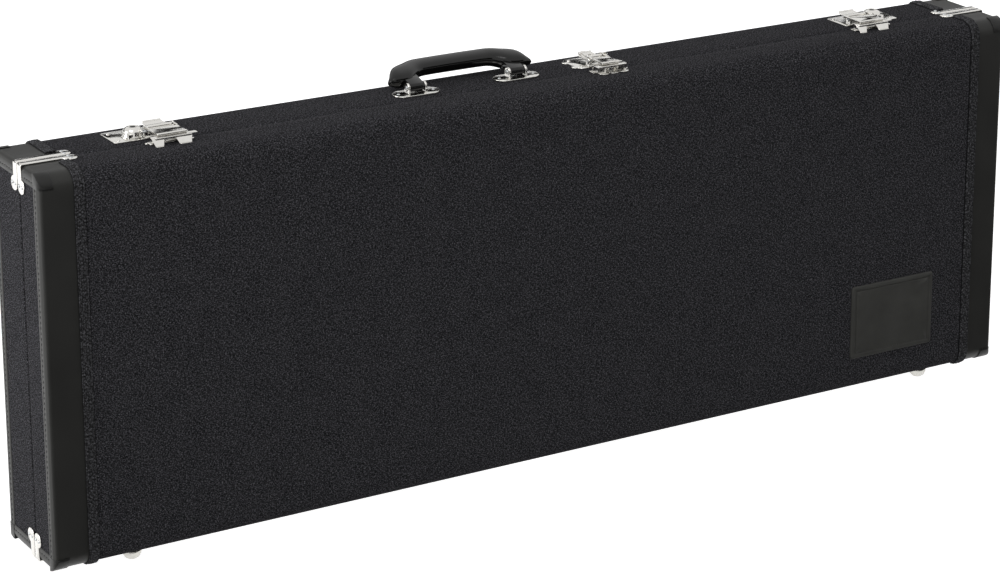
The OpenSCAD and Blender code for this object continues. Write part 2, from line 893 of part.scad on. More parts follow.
// Cross-section of the grip, a flattened round
module grip_slice(x, z, w, h) {
    translate([x, 0, z]) scale([0.35, w / h, 1]) sphere(r = h / 2, $fn = 28);
}

// Arched grip, thick in the middle, with swollen ends that turn down over the blocks
module handle_grip() {
    half = grip_len / 2;
    end_z = grip_reach - 4;
    color("#131313") leaning() difference() {
        union() {
            for (s = [-1, 1]) {
                hull() {
                    grip_slice(0, grip_reach, grip_w, grip_h);
                    grip_slice(s * half * 0.55, grip_reach - 1, grip_w, grip_h);
                }
                hull() {
                    grip_slice(s * half * 0.55, grip_reach - 1, grip_w, grip_h);
                    grip_slice(s * (half - 12), end_z, grip_w + 2, grip_h + 2);
                }
                hull() {
                    grip_slice(s * (half - 12), end_z, grip_w + 2, grip_h + 2);
                    grip_slice(s * (half - 3), end_z - 9, grip_w - 2, grip_h - 8);
                }
            }
        }
        for (s = [-1, 1]) translate([s * handle_span / 2 - block_w / 2 - glue, -block_r - glue, -5])
            cube([block_w + 2 * glue, 2 * (block_r + glue), 5 + grip_reach - grip_h / 2 - 1]);
    }
}

// ---- Leather patch on the lid ----

module patch() {
    color("#101010") translate([patch_x - patch_w / 2, front_y - 0.05, patch_z - patch_h / 2])
        rotate([90, 0, 0]) difference() {
            rounded_plate(patch_w, patch_h, patch_t, 3);
            // Pressed border line
            translate([border_in, border_in, patch_t - 0.5]) difference() {
                cube([patch_w - 2 * border_in, patch_h - 2 * border_in, 2]);
                translate([1, 1, -1])
                    cube([patch_w - 2 * border_in - 2, patch_h - 2 * border_in - 2, 4]);
            }
        }
}

base_shell();
base_cover();
base_end_covers();
base_end_panels();
base_trim_bands();
rim_lip();
base_lining();
neck_rest();
body_cushions();
compartment_box();
compartment_hinge_pin();
base_clamps();
base_clamp_nails();
base_corner_caps();
base_hinge_leaves();
hinge_pins();
base_feet();
latch_plate_left();
latch_plate_right();
latch_pin_left();
latch_pin_right();
latch_rivets();
lock_plate();
lock_pin();
lock_rivets();
handle_plates();
handle_pins();
handle_nails();
lid_shell();
lid_cover();
lid_end_covers();
lid_end_panels();
lid_trim_bands();
lid_lining();
lid_clamps();
lid_clamp_nails();
lid_corner_caps();
lid_hinge_leaves();
lid_feet();
patch();
strike_left();
strike_right();
strike_lock();
strike_rivets();
handle_grip();
handle_blocks();
latch_lever_left();
latch_link_left();
latch_link_pin_left();
latch_lever_right();
latch_link_right();
latch_link_pin_right();
lock_lever();
lock_link();
lock_link_pin();
key_plug();
compartment_lid();
compartment_pull();
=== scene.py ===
# %% [markdown]
# # Dressing a hardshell guitar case
#
# The case stands on its hinge side. Its shape and its joints come from a CAD model that is
# already packed, and this lesson gives each part of it the surface, the stitching and the
# finish that the real one has. Everything is in metres, in the CAD model's own frame: +X runs
# along the case, -Y looks out of the lid, and +Z goes up to the handle.

import math

import bmesh
import bpy
from mathutils import Matrix, Vector


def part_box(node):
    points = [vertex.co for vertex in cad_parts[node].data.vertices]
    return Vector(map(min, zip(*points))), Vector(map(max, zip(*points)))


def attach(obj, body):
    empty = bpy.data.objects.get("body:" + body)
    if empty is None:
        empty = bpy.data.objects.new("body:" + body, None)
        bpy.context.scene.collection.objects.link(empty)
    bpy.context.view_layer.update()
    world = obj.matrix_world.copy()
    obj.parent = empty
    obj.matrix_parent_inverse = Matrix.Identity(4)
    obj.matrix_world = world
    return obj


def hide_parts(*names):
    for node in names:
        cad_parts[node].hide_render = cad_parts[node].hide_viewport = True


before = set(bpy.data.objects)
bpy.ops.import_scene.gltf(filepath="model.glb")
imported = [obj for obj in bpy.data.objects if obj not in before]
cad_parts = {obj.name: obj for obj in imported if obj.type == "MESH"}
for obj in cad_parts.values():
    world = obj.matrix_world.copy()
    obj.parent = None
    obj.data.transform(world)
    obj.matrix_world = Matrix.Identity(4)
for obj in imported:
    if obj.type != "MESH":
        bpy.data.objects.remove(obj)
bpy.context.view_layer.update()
scene = bpy.context.scene
MM = 0.001

# %% [markdown]
# ## Camera
#
# The case is seen from its left front, a little from above, with its lid towards us. The
# camera is built from three directions: where it looks, what is right and what is up. A small
# lens shift keeps the upright edges nearly upright, as a studio camera would.

# %% Camera
LOOK_YAW, LOOK_PITCH, LOOK_ROLL = (math.radians(v) for v in (32.166, 16.72, 0.397))
FOCAL_MM, SENSOR_MM, LENS_SHIFT = 115.76, 36.0, (-0.1, -0.15)
CAMERA_AT = (-1.5195, -2.5336, 1.2091)

ahead = Vector((
    math.sin(LOOK_YAW) * math.cos(LOOK_PITCH),
    math.cos(LOOK_YAW) * math.cos(LOOK_PITCH),
    -math.sin(LOOK_PITCH),
))
level_right = Vector((math.cos(LOOK_YAW), -math.sin(LOOK_YAW), 0.0))
level_up = level_right.cross(ahead)
right = level_right * math.cos(LOOK_ROLL) + level_up * math.sin(LOOK_ROLL)
up = level_up * math.cos(LOOK_ROLL) - level_right * math.sin(LOOK_ROLL)

lens = bpy.data.cameras.new("studio_camera")
lens.lens, lens.sensor_width, lens.sensor_fit = FOCAL_MM, SENSOR_MM, "HORIZONTAL"
lens.shift_x, lens.shift_y = LENS_SHIFT
lens.clip_start, lens.clip_end = 0.05, 60.0
camera = bpy.data.objects.new("studio_camera", lens)
scene.collection.objects.link(camera)
camera.matrix_world = Matrix.Translation(CAMERA_AT) @ Matrix(
    (right, up, -ahead)).transposed().to_4x4()
scene.camera = camera
print("camera at", [round(v, 3) for v in camera.location])

# %% [markdown]
# ## One way to add a node
#
# Every material and every Geometry Nodes tree below is built with one small function. It adds
# a node, sets its options, and fills each input with a value or with a link. Colours are
# written as the sRGB hex values a designer would pick, and one function turns them to linear.
# Many finishes are one colour that drifts a little, so a function makes those from a table row.

# %% Nodes and colours
def socket_of(source):
    """A node stands for its first output; anything else stands for itself."""
    return source.outputs[0] if isinstance(source, bpy.types.Node) else source


def add(tree, kind, inputs=None, **settings):
    """Adds a node to a tree; an input is a value, a socket to link from, or a node."""
    made = tree.nodes.new(kind)
    for name, value in settings.items():
        setattr(made, name, value)
    for key, value in (inputs or {}).items():
        value = socket_of(value)
        if isinstance(value, bpy.types.NodeSocket):
            tree.links.new(value, made.inputs[key])
        else:
            made.inputs[key].default_value = value
    return made


def colour(hex_value):
    """An sRGB hex value as linear red, green, blue and alpha."""
    parts = [int(hex_value[i : i + 2], 16) / 255 for i in (1, 3, 5)]
    return [v / 12.92 if v <= 0.04045 else ((v + 0.055) / 1.055) ** 2.4 for v in parts] + [1.0]


def new_finish(name, uv=None, **constants):
    """A material, its tree, its shader, and the place on the piece that its patterns read.

    The constants go on the shader's own sockets.
    """
    material = bpy.data.materials.new(name)
    material.use_nodes = True
    tree = material.node_tree
    shader = tree.nodes["Principled BSDF"]
    for socket, value in constants.items():
        shader.inputs[socket.replace("_", " ")].default_value = value
    if uv:
        return material, tree, shader, add(tree, "ShaderNodeUVMap", uv_map=uv).outputs["UV"]
    return material, tree, shader, add(tree, "ShaderNodeTexCoord").outputs["Object"]


def wire(tree, shader, **sources):
    """Feeds sockets of a shader from other nodes."""
    for socket, source in sources.items():
        tree.links.new(socket_of(source), shader.inputs[socket.replace("_", " ")])


def drifting(name, low_hex, high_hex, scale, detail, polish=None, dents=None, grit=0.5,
             **constants):
    """A finish of one colour that drifts a little between two tones.

    polish gives two levels of the noise and the roughness at each; dents gives the strength
    and the depth of its relief.
    """
    material, tree, shader, where = new_finish(name, **constants)
    cloud = add(tree, "ShaderNodeTexNoise", {
        "Vector": where, "Scale": scale, "Detail": detail, "Roughness": grit})
    tone = add(tree, "ShaderNodeMix", {
        0: cloud, 6: colour(low_hex), 7: colour(high_hex)}, data_type="RGBA")
    wire(tree, shader, Base_Color=tone.outputs[2])
    if polish:
        wire(tree, shader, Roughness=add(tree, "ShaderNodeMapRange", {
            "Value": cloud, 1: polish[0], 2: polish[1], 3: polish[2], 4: polish[3]}))
    if dents:
        wire(tree, shader, Normal=add(tree, "ShaderNodeBump", {
            "Height": cloud, "Strength": dents[0], "Distance": dents[1]}))
    return material


PER_MM = 1.0 / MM  # a noise of this scale has features about a millimetre across
WHITE = (1.0, 1.0, 1.0, 1.0)
print("black denim in linear light:", [round(v, 4) for v in colour("#28282c")])

# %% [markdown]
# ## Light, floor and backdrop
#
# The case is shown on plain white, lit by a wide soft sky and two soft boxes: one high at its
# left front, one low at its left. Camera and mirror rays see plain white.
#
# When the lid opens it swings out and down past the floor, because a real case would be laid on
# its back first. So the floor has a shallow well in front of the hinges. The floor and the well
# are lit so near to white that only a soft shadow shows on them.

# %% World
def seen_or_mirrored(tree):
    """1 for the rays of the camera, of mirrors and of glass, and 0 for all others."""
    rays = add(tree, "ShaderNodeLightPath")
    eye = add(tree, "ShaderNodeMath", {
        0: rays.outputs["Is Camera Ray"], 1: rays.outputs["Is Glossy Ray"]}, operation="ADD")
    return add(tree, "ShaderNodeMath", {
        0: eye, 1: rays.outputs["Is Transmission Ray"]}, operation="ADD", use_clamp=True)


world = bpy.data.worlds.new("white_studio")
world.use_nodes = True
scene.world = world
sky = world.node_tree
sky.nodes.clear()
soft_light = add(sky, "ShaderNodeBackground", {"Color": WHITE, "Strength": 0.55})
white_paper = add(sky, "ShaderNodeBackground", {"Color": WHITE, "Strength": 1.0})
sky_mix = add(sky, "ShaderNodeMixShader", {
    0: seen_or_mirrored(sky), 1: soft_light, 2: white_paper})
add(sky, "ShaderNodeOutputWorld", {"Surface": sky_mix})

# %% Soft boxes
def soft_box(name, place, target, width, height, watts):
    """A rectangular area lamp that points at a target."""
    data = bpy.data.lights.new(name, "AREA")
    data.shape, data.size, data.size_y, data.energy = "RECTANGLE", width, height, watts
    lamp = bpy.data.objects.new(name, data)
    scene.collection.objects.link(lamp)
    lamp.location = place
    lamp.rotation_mode = "QUATERNION"
    lamp.rotation_quaternion = (Vector(target) - Vector(place)).to_track_quat("-Z", "Y")
    return lamp


CASE_TARGET = (0.0, 0.0, 0.2)
key_light = soft_box("key_soft_box", (-1.6, -1.0, 2.6), CASE_TARGET, 1.6, 1.2, 22.0)
side_light = soft_box("side_soft_box", (-2.8, 0.7, 0.9), CASE_TARGET, 1.0, 1.4, 38.0)
print("lamps:", key_light.data.energy, "W and", side_light.data.energy, "W")

# %% Dark cards
# Bright metal and glossy vinyl need something dark to mirror, or they look like paper. Three
# black cards stand where only mirror rays find them: one lies low in front, one stands high at
# the back, and one stands far in front.
card_black = new_finish("card_black", Base_Color=(0.004, 0.004, 0.004, 1.0),
                        Specular_IOR_Level=0.0)[0]


def dark_card(name, corners):
    mesh = bpy.data.meshes.new(name)
    mesh.from_pydata(corners, [], [(0, 1, 2, 3)])
    mesh.materials.append(card_black)
    card = bpy.data.objects.new(name, mesh)
    scene.collection.objects.link(card)
    card.visible_camera = card.visible_diffuse = card.visible_shadow = False


dark_card("card_low_front", [(-1.2, -3.0, 0.002), (4.0, -3.0, 0.002),
                             (4.0, -0.07, 0.002), (-1.2, -0.07, 0.002)])
dark_card("card_high_back", [(-2.5, 2.4, 0.55), (5.0, 2.4, 0.55),
                             (5.0, 2.4, 1.25), (-2.5, 2.4, 1.25)])
dark_card("card_front", [(-0.6, -3.4, 0.3), (3.5, -3.4, 0.3),
                         (3.5, -3.4, 1.9), (-0.6, -3.4, 1.9)])

# %% Floor with its well
WELL_X, WELL_FRONT, WELL_BACK, WELL_DEEP, FLOOR_REACH = 0.62, -0.50, 0.010, 0.14, 9.0

paper = bpy.data.materials.new("white_paper_floor")
paper.use_nodes = True
sheet = paper.node_tree
sheet.nodes.clear()
matt = add(sheet, "ShaderNodeBsdfDiffuse", {"Color": colour("#e2e2e2")})
lift = add(sheet, "ShaderNodeEmission", {"Color": WHITE, "Strength": 0.80})
unlit = add(sheet, "ShaderNodeEmission", {"Strength": 0.0})
seen_lift = add(sheet, "ShaderNodeMixShader", {0: seen_or_mirrored(sheet), 1: unlit, 2: lift})
both = add(sheet, "ShaderNodeAddShader", {0: matt, 1: seen_lift})
add(sheet, "ShaderNodeOutputMaterial", {"Surface": both})

edges_x = (-FLOOR_REACH, -WELL_X, WELL_X, FLOOR_REACH)
edges_y = (-FLOOR_REACH, WELL_FRONT, WELL_BACK, FLOOR_REACH)
build = bmesh.new()
grid = [[build.verts.new((x, y, 0.0)) for x in edges_x] for y in edges_y]
for row in range(3):
    for column in range(3):
        if (row, column) != (1, 1):
            build.faces.new((grid[row][column], grid[row][column + 1],
                             grid[row + 1][column + 1], grid[row + 1][column]))
rim = [grid[1][1], grid[1][2], grid[2][2], grid[2][1]]
deep = [build.verts.new(v.co - Vector((0.0, 0.0, WELL_DEEP))) for v in rim]
for i in range(4):
    build.faces.new((rim[i - 1], rim[i], deep[i], deep[i - 1]))
build.faces.new(deep)
floor_mesh = bpy.data.meshes.new("studio_floor")
build.to_mesh(floor_mesh)
build.free()
floor_mesh.materials.append(paper)
floor = bpy.data.objects.new("studio_floor", floor_mesh)
scene.collection.objects.link(floor)
print("floor well in mm:", round(2 * WELL_X / MM), "by", round((WELL_BACK - WELL_FRONT) / MM))

# %% [markdown]
# ## The outline that everything follows
#
# Both halves of the case are one outline pulled along X. Seen from its end, a half runs from
# one rim, round two long edges, to the other rim. The covering, the stitched trim, the vinyl
# ends and the seams all lie on that line, at some depth below or height above it. So one
# function gives it, always with the same number of points, and rings at different depths can
# be joined face by face.

# %% Sizes from the CAD model
base_low, base_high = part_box("base_end_covers")
lid_low, lid_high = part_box("lid_end_covers")
HALVES = ("base", "lid")
END_X, BACK_Y, FRONT_Y = base_high.x, base_high.y, lid_low.y
BOTTOM_Z, TOP_Z = base_low.z, base_high.z
OUT = {"base": 1.0, "lid": -1.0}  # which way along Y each half looks
RIM_Y = {"base": base_low.y, "lid": lid_high.y}
FACE_Y = {"base": BACK_Y, "lid": FRONT_Y}
PART_Y = (RIM_Y["base"] + RIM_Y["lid"]) / 2
MIDDLE_Z = (BOTTOM_Z + TOP_Z) / 2
CASE_MIDDLE = (0.0, PART_Y, MIDDLE_Z)
BAND_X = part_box("base_cover")[1].x
END_BORDER, END_ARRIS = 13.5 * MM, 3.8 * MM  # the sewn border's width, the rounding before it
LONG_EDGE = {"base": 10 * MM, "lid": 15 * MM}
COVER_T, CLAMP_ROOM = 1.2 * MM, 15 * MM  # the bands stop short of the rims
SAME_POINT = 0.001 * MM  # points nearer than this are merged
print("covered box in mm:", round(2 * END_X / MM), round((BACK_Y - FRONT_Y) / MM),
      round((TOP_Z - BOTTOM_Z) / MM))


# %% The half outline
def half_outline(half, depth, flat=6, corner=9, face=36, rim_y=None, ease=0.0):
    """(y, z) points from the lower rim to the upper rim, at a depth below the surface.

    flat, corner and face are how many steps run across the side, round the long edge and up
    the face. ease is how far the very edge drops where the cloth is turned in at the rim.
    """
    if rim_y is None:
        rim_y = RIM_Y[half]
    side = OUT[half]
    radius = max(LONG_EDGE[half] - depth, 0.5 * MM)
    face_y = FACE_Y[half] - side * depth
    low, high = BOTTOM_Z + depth, TOP_Z - depth
    turn_y = face_y - side * radius
    points = [(rim_y, low + ease), (rim_y + side * 1.3 * MM, low + ease * 0.1)]
    points += [(rim_y + (turn_y - rim_y) * i / flat, low) for i in range(2, flat)]
    for i in range(corner):
        angle = math.pi / 2 * i / (corner - 1)
        points.append((turn_y + side * radius * math.sin(angle),
                       low + radius - radius * math.cos(angle)))
    for i in range(1, face):
        points.append((face_y, low + radius + (high - low - 2 * radius) * i / face))
    mirrored = [(y, low + high - z) for y, z in reversed(points[: flat + corner])]
    return points + mirrored


def distances(points):
    """How far along the line each point lies."""
    total, found = 0.0, [0.0]
    for a, b in zip(points, points[1:]):
        total += math.dist(a, b)
        found.append(total)
    return found


print("outline of a half:", len(half_outline("lid", 0)), "points,",
      round(distances(half_outline("lid", 0))[-1] / MM), "mm")

# %% [markdown]
# ## Helpers that make a mesh a piece
#
# A skin is a stack of rings with faces between them. Each finished mesh becomes a piece of the
# object: it is given its finish, it rides on its CAD body, and it stands for the CAD node that
# it replaces. Its own object stays at the origin.

# %% Mesh helpers
def as_mesh(build, name):
    """Ends a bmesh: its shape goes into a new mesh."""
    mesh = bpy.data.meshes.new(name)
    build.to_mesh(mesh)
    build.free()
    return mesh


def skin(rings, closed=False, caps=False, uv=None, weld=False):
    """A mesh from rings of points, with faces between each ring and the next."""
    build = bmesh.new()
    layer = build.loops.layers.uv.new("cloth") if uv else None
    made = [[build.verts.new(p) for p in ring] for ring in rings]
    count = len(rings[0])
    for i in range(len(rings) - 1):
        for j in range(count if closed else count - 1):
            k = (j + 1) % count
            face = build.faces.new((made[i][j], made[i][k], made[i + 1][k], made[i + 1][j]))
            if layer:
                for loop, (a, b) in zip(face.loops, ((i, j), (i, k), (i + 1, k), (i + 1, j))):
                    loop[layer].uv = uv[a][b]
    if caps:
        build.faces.new(made[0])
        build.faces.new(list(reversed(made[-1])))
    if weld:
        bmesh.ops.remove_doubles(build, verts=build.verts, dist=SAME_POINT)
    bmesh.ops.recalc_face_normals(build, faces=build.faces)
    return as_mesh(build, "skin")


def face_away(mesh, inside):
    """Turns an open sheet so that its faces look away from a point inside the object."""
    total = sum(p.normal.dot(p.center - Vector(inside)) * p.area for p in mesh.polygons)
    if total < 0:
        mesh.flip_normals()
    return mesh


def as_object(name, mesh):
    mesh.name = name
    made = bpy.data.objects.new(name, mesh)
    scene.collection.objects.link(made)
    return made


def modify(made, kind, **settings):
    """Adds a modifier with its settings."""
    modifier = made.modifiers.new(kind.lower(), kind)
    for name, value in settings.items():
        setattr(modifier, name, value)
    return modifier


def baked(holder):
    """Applies an object's modifiers and leaves a plain mesh in it."""
    graph = bpy.context.evaluated_depsgraph_get()
    mesh = bpy.data.meshes.new_from_object(holder.evaluated_get(graph))
    holder.modifiers.clear()
    holder.data = mesh
    mesh.name = holder.name
    return holder


def joined(name, *meshes):
    """One mesh from several, with their UV maps kept."""
    build = bmesh.new()
    for mesh in meshes:
        build.from_mesh(mesh)
    return as_mesh(build, name)


def merged(name, parts):
    """One object in place of several."""
    whole = as_object(name, joined(name, *[part.data for part in parts]))
    for part in parts:
        bpy.data.objects.remove(part)
    return whole


def piece(made, material, body, slot, *nodes, sharp=35.0):
    """Gives a finished mesh its material and its place in the object."""
    if material:
        made.data.materials.clear()
        made.data.materials.append(material)
    made.data.shade_smooth()
    made.data.set_sharp_from_angle(angle=math.radians(sharp))
    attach(made, body)
    if nodes:
        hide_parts(*nodes)
    return made


def thickened(name, mesh, thickness):
    """A sheet given its wall, inwards from its outer face."""
    holder = as_object(name, mesh)
    modify(holder, "SOLIDIFY", thickness=thickness, offset=-1.0, use_even_offset=True)
    return baked(holder)

def rounded_ring(half_x, half_z, radius, y, centre, corner=6, side=8):
    """A closed ring of points round a rounded rectangle in the XZ plane."""
    radius = min(radius, half_x - 0.01 * MM, half_z - 0.01 * MM)
    ring = []
    quarter = ((1, 1), (-1, 1), (-1, -1), (1, -1))
    for turn, (sx, sz) in enumerate(quarter):
        cx, cz = sx * (half_x - radius), sz * (half_z - radius)
        for i in range(corner + 1):
            angle = math.pi / 2 * (turn + i / corner)
            ring.append((centre[0] + cx + radius * math.cos(angle), y,
                         centre[1] + cz + radius * math.sin(angle)))
        nx, nz = quarter[(turn + 1) % 4]
        ax, az = ring[-1][0], ring[-1][2]
        start = math.pi / 2 * (turn + 1)
        bx = centre[0] + nx * (half_x - radius) + radius * math.cos(start)
        bz = centre[1] + nz * (half_z - radius) + radius * math.sin(start)
        for i in range(1, side):
            ring.append((ax + (bx - ax) * i / side, y, az + (bz - az) * i / side))
    return ring

# %% [markdown]
# ## Black denim
#
# The large faces are covered with black selvedge denim glued to plywood. Denim is a twill: the
# dark warp passes over two or three light weft threads, and each row steps sideways, so fine
# ribs run diagonally. The weft peeps out as pale flecks. Here a diagonal wave gives the ribs, a
# stretched noise the uneven threads, and a fine noise the flecks. Real ribs are 0.6 mm apart,
# too fine to show, so they are drawn 1.5 mm apart, with flecks to match. The pattern reads a
# UV map in metres that follows the cloth round the edges of the case.

# %% Denim finish
RIB_MM = 1.5
denim, tree, shader, cloth = new_finish(
    "black_denim_twill", uv="cloth", Roughness=0.95, IOR=1.5, Specular_IOR_Level=0.04)
# a wave texture's diagonal bands repeat every 2 pi / (10 scale) of x + y
ribs = add(tree, "ShaderNodeTexWave", {
    "Vector": cloth, "Scale": 2 * math.pi / (10 * RIB_MM * MM * math.sqrt(2)),
    "Distortion": 2.5, "Detail": 2.0, "Detail Scale": 1.4},
    wave_type="BANDS", bands_direction="DIAGONAL")
# light threads along the cloth and up it: stretch, noise per mm, its range, most that shows
along, upright = [
    add(tree, "ShaderNodeMapRange", {"Value": add(tree, "ShaderNodeTexNoise", {
        "Vector": add(tree, "ShaderNodeMapping", {"Vector": cloth, "Scale": stretch}),
        "Scale": per_mm * PER_MM, "Detail": 1.0, "Roughness": 0.5}),
        1: low, 2: high, 3: 0.0, 4: most})
    for stretch, per_mm, low, high, most in (
        ((0.4, 1.1, 1.0), 1.35, 0.54, 0.70, 0.75), ((1.1, 0.35, 1.0), 1.3, 0.52, 0.72, 0.5))]
showing = add(tree, "ShaderNodeMath", {0: along, 1: upright}, operation="ADD", use_clamp=True)
ribbed = add(tree, "ShaderNodeMapRange", {"Value": ribs.outputs[1], 3: 0.7, 4: 1.0})
amount = add(tree, "ShaderNodeMath", {0: showing, 1: ribbed}, operation="MULTIPLY")
fade = add(tree, "ShaderNodeTexNoise", {
    "Vector": cloth, "Scale": 38.0, "Detail": 6.0, "Roughness": 0.7})
worn = add(tree, "ShaderNodeMix", {
    0: fade, 6: colour("#060608"), 7: colour("#272728")}, data_type="RGBA")
yarn = add(tree, "ShaderNodeMix", {
    0: amount, 6: worn.outputs[2], 7: colour("#6c6b71")}, data_type="RGBA")
lint = add(tree, "ShaderNodeTexNoise", {
    "Vector": cloth, "Scale": 0.75 * PER_MM, "Detail": 0.0})
flecks = add(tree, "ShaderNodeMapRange", {"Value": lint, 1: 0.68, 2: 0.82, 3: 0.0, 4: 0.32})
dotted = add(tree, "ShaderNodeMix", {
    0: flecks, 6: yarn.outputs[2], 7: colour("#8c8c90")}, data_type="RGBA")
bump = add(tree, "ShaderNodeBump", {"Height": showing, "Strength": 0.12, "Distance": 0.2 * MM})
wire(tree, shader, Base_Color=dotted.outputs[2], Normal=bump)
print(denim.name, "ribs", RIB_MM, "mm apart")

# %% [markdown]
# ## The denim covering
#
# The cloth runs between the two trim bands, from rim to rim round each half. It is one sheet
# that follows the half outline, 1.2 mm thick, with its UV map laid along the cloth. On the end
# faces a flat panel of the same denim sits inside the vinyl border.

# %% Denim pieces
def covering(half):
    points = half_outline(half, 0.0, ease=1.0 * MM)
    along = distances(points)
    columns = 48
    xs = [-BAND_X + 2 * BAND_X * i / columns for i in range(columns + 1)]
    rings = [[(x, y, z) for y, z in points] for x in xs]
    uv = [[(x, d) for d in along] for x in xs]
    return thickened(half + "_denim_cover", face_away(skin(rings, uv=uv), CASE_MIDDLE), COVER_T)


for half in HALVES:
    cover = piece(covering(half), denim, half, "denim", half + "_cover")
    print(cover.name, len(cover.data.polygons), "faces")

TUCK = 0.6 * MM  # how far the panel runs under the border


def end_panel(half, end):
    """The denim panel in an end face, a hair below the border that is sewn round it."""
    x, near = end * (END_X - 0.25 * MM), RIM_Y[half]
    far = FACE_Y[half] - OUT[half] * (END_BORDER - TUCK)
    low, high = BOTTOM_Z + END_BORDER - TUCK, TOP_Z - END_BORDER + TUCK
    steps = 40
    rows = [low + (high - low) * i / steps for i in range(steps + 1)]
    across = [(0.0, 2.0 * MM), (1.5 * MM, 0.2 * MM)] + [
        (abs(far - near) * j / 6, 0.0) for j in range(1, 7)]  # eased where it is turned in
    rings = [[(x - end * drop, near + OUT[half] * reach, z) for reach, drop in across]
             for z in rows]
    uv = [[(p[1], p[2] + 0.3 * end) for p in ring] for ring in rings]
    mesh = face_away(skin(rings, uv=uv), (0.0, near, MIDDLE_Z))
    return thickened("panel", mesh, 0.9 * MM)


for half in HALVES:
    panel = merged(half + "_denim_end_panels", [end_panel(half, end) for end in (-1, 1)])
    piece(panel, denim, half, "denim", half + "_end_panels")
    print(panel.name, "made")
# %% [markdown]
# ## Vinyl leathercloth
#
# The ends are wrapped in smooth black vinyl, a soft PVC skin on a cloth backing. It is satin:
# dark when seen straight on, and grey where it is seen at a flat angle. A very fine grain and a
# slow waviness keep its reflections from looking like glass.

# %% Vinyl finish
vinyl, tree, shader, where = new_finish(
    "black_vinyl_leathercloth", IOR=1.52, Specular_IOR_Level=0.22)
grain = add(tree, "ShaderNodeTexVoronoi", {
    "Vector": where, "Scale": 1.1 * PER_MM, "Randomness": 1.0})
wave = add(tree, "ShaderNodeTexNoise", {"Vector": where, "Scale": 22.0, "Detail": 3.0})
tone = add(tree, "ShaderNodeMix", {
    0: wave, 6: colour("#272726"), 7: colour("#31312f")}, data_type="RGBA")
satin = add(tree, "ShaderNodeMapRange", {"Value": wave, 3: 0.34, 4: 0.48})
slow = add(tree, "ShaderNodeBump", {"Height": wave, "Strength": 0.25, "Distance": 1.2 * MM})
fine = add(tree, "ShaderNodeBump", {
    "Height": grain, "Strength": 0.18, "Distance": 0.12 * MM, "Normal": slow})
wire(tree, shader, Base_Color=tone.outputs[2], Roughness=satin, Normal=fine)
print(vinyl.name, "made")

# %% [markdown]
# ## The vinyl ends
#
# Each end is one sheet that starts under the trim band, turns over a small arris on to the end
# face, and finishes in a border 13.5 mm wide round the denim panel. The border is folded and
# sewn, so it swells a little, with a shallow valley for its stitches. At each corner the sheet
# is mitred, which leaves a crease from the corner of the case to the corner of the panel.

# %% Vinyl ends
STITCH_IN = 9.0 * MM  # how far the border's stitches lie from the edge of the case
SWELL, SWELL_START = 0.85 * MM, 3.5 * MM  # how high the border swells, and where it starts
CREASE = 0.45 * MM


def border_height(depth):
    """How far the border stands out of the end face, at a depth in from the edge."""
    share = (depth - SWELL_START) / (END_BORDER - SWELL_START)
    if not 0.0 < share < 1.0:
        return 0.0
    valley = 0.5 * math.exp(-(((depth - STITCH_IN) / (1.2 * MM)) ** 2))
    return SWELL * (math.sin(math.pi * share) ** 0.5 - valley)


def vinyl_end(half, end):
    start = BAND_X + 0.2 * MM
    flat_x = END_X - END_ARRIS
    stations = [(start + (flat_x - start) * i / 6, 0.0) for i in range(7)]
    for i in range(1, 9):
        angle = math.pi / 2 * i / 8
        depth = END_ARRIS * (1 - math.cos(angle))
        stations.append((flat_x + END_ARRIS * math.sin(angle) + border_height(depth), depth))
    for i in range(1, 21):
        depth = END_ARRIS + (END_BORDER - END_ARRIS) * i / 20
        stations.append((END_X + border_height(depth), depth))
    rings = []
    flat = 4
    for x, depth in stations:
        points = half_outline(half, depth, flat=flat, corner=9, face=60, ease=1.0 * MM)
        mitres = (flat + 4, len(points) - 1 - flat - 4)  # the middle point of each corner
        rings.append([
            (end * (x - (CREASE if i in mitres and depth > 0.5 * MM else 0.0)), y, z)
            for i, (y, z) in enumerate(points)])
    return thickened("end", face_away(skin(rings), CASE_MIDDLE), COVER_T)


for half in HALVES:
    wrap = merged(half + "_vinyl_ends", [vinyl_end(half, end) for end in (-1, 1)])
    piece(wrap, vinyl, half, "vinyl", half + "_end_covers")
    print(wrap.name, len(wrap.data.polygons), "faces")

# %% [markdown]
# ## Growing pieces with Geometry Nodes
#
# Stitches, braid and nails repeat, so each is described once as a tree and grown along a line
# or on a set of points. The tree's sizes are named inputs. The grown result is turned into a
# plain mesh, so nothing is left live in the finished model.

# %% Running a tree
def new_tree(name, **inputs):
    """An empty Geometry Nodes tree with named inputs, its input node and its last two nodes."""
    tree = bpy.data.node_groups.new(name, "GeometryNodeTree")
    tree.interface.new_socket("Geometry", in_out="INPUT", socket_type="NodeSocketGeometry")
    for label, kind in inputs.items():
        tree.interface.new_socket(label.replace("_", " "), in_out="INPUT",
                                  socket_type="NodeSocket" + kind)
    tree.interface.new_socket("Geometry", in_out="OUTPUT", socket_type="NodeSocketGeometry")
    return tree, add(tree, "NodeGroupInput")


def close_tree(tree, geometry, material):
    """Ends a tree: instances become real, and the material is set."""
    real = add(tree, "GeometryNodeRealizeInstances", {"Geometry": geometry})
    dressed = add(tree, "GeometryNodeSetMaterial", {"Geometry": real,
                                                    "Material": material})
    add(tree, "NodeGroupOutput", {0: dressed})


def grow(name, tree, start_mesh, **values):
    """Runs a tree on a mesh and returns what grew as a plain object."""
    holder = as_object(name, start_mesh)
    grower = holder.modifiers.new("grow", "NODES")
    grower.node_group = tree
    for item in tree.interface.items_tree:
        if item.in_out == "INPUT" and item.name.replace(" ", "_") in values:
            grower[item.identifier] = values[item.name.replace(" ", "_")]
    holder.update_tag()
    baked(holder)
    return holder


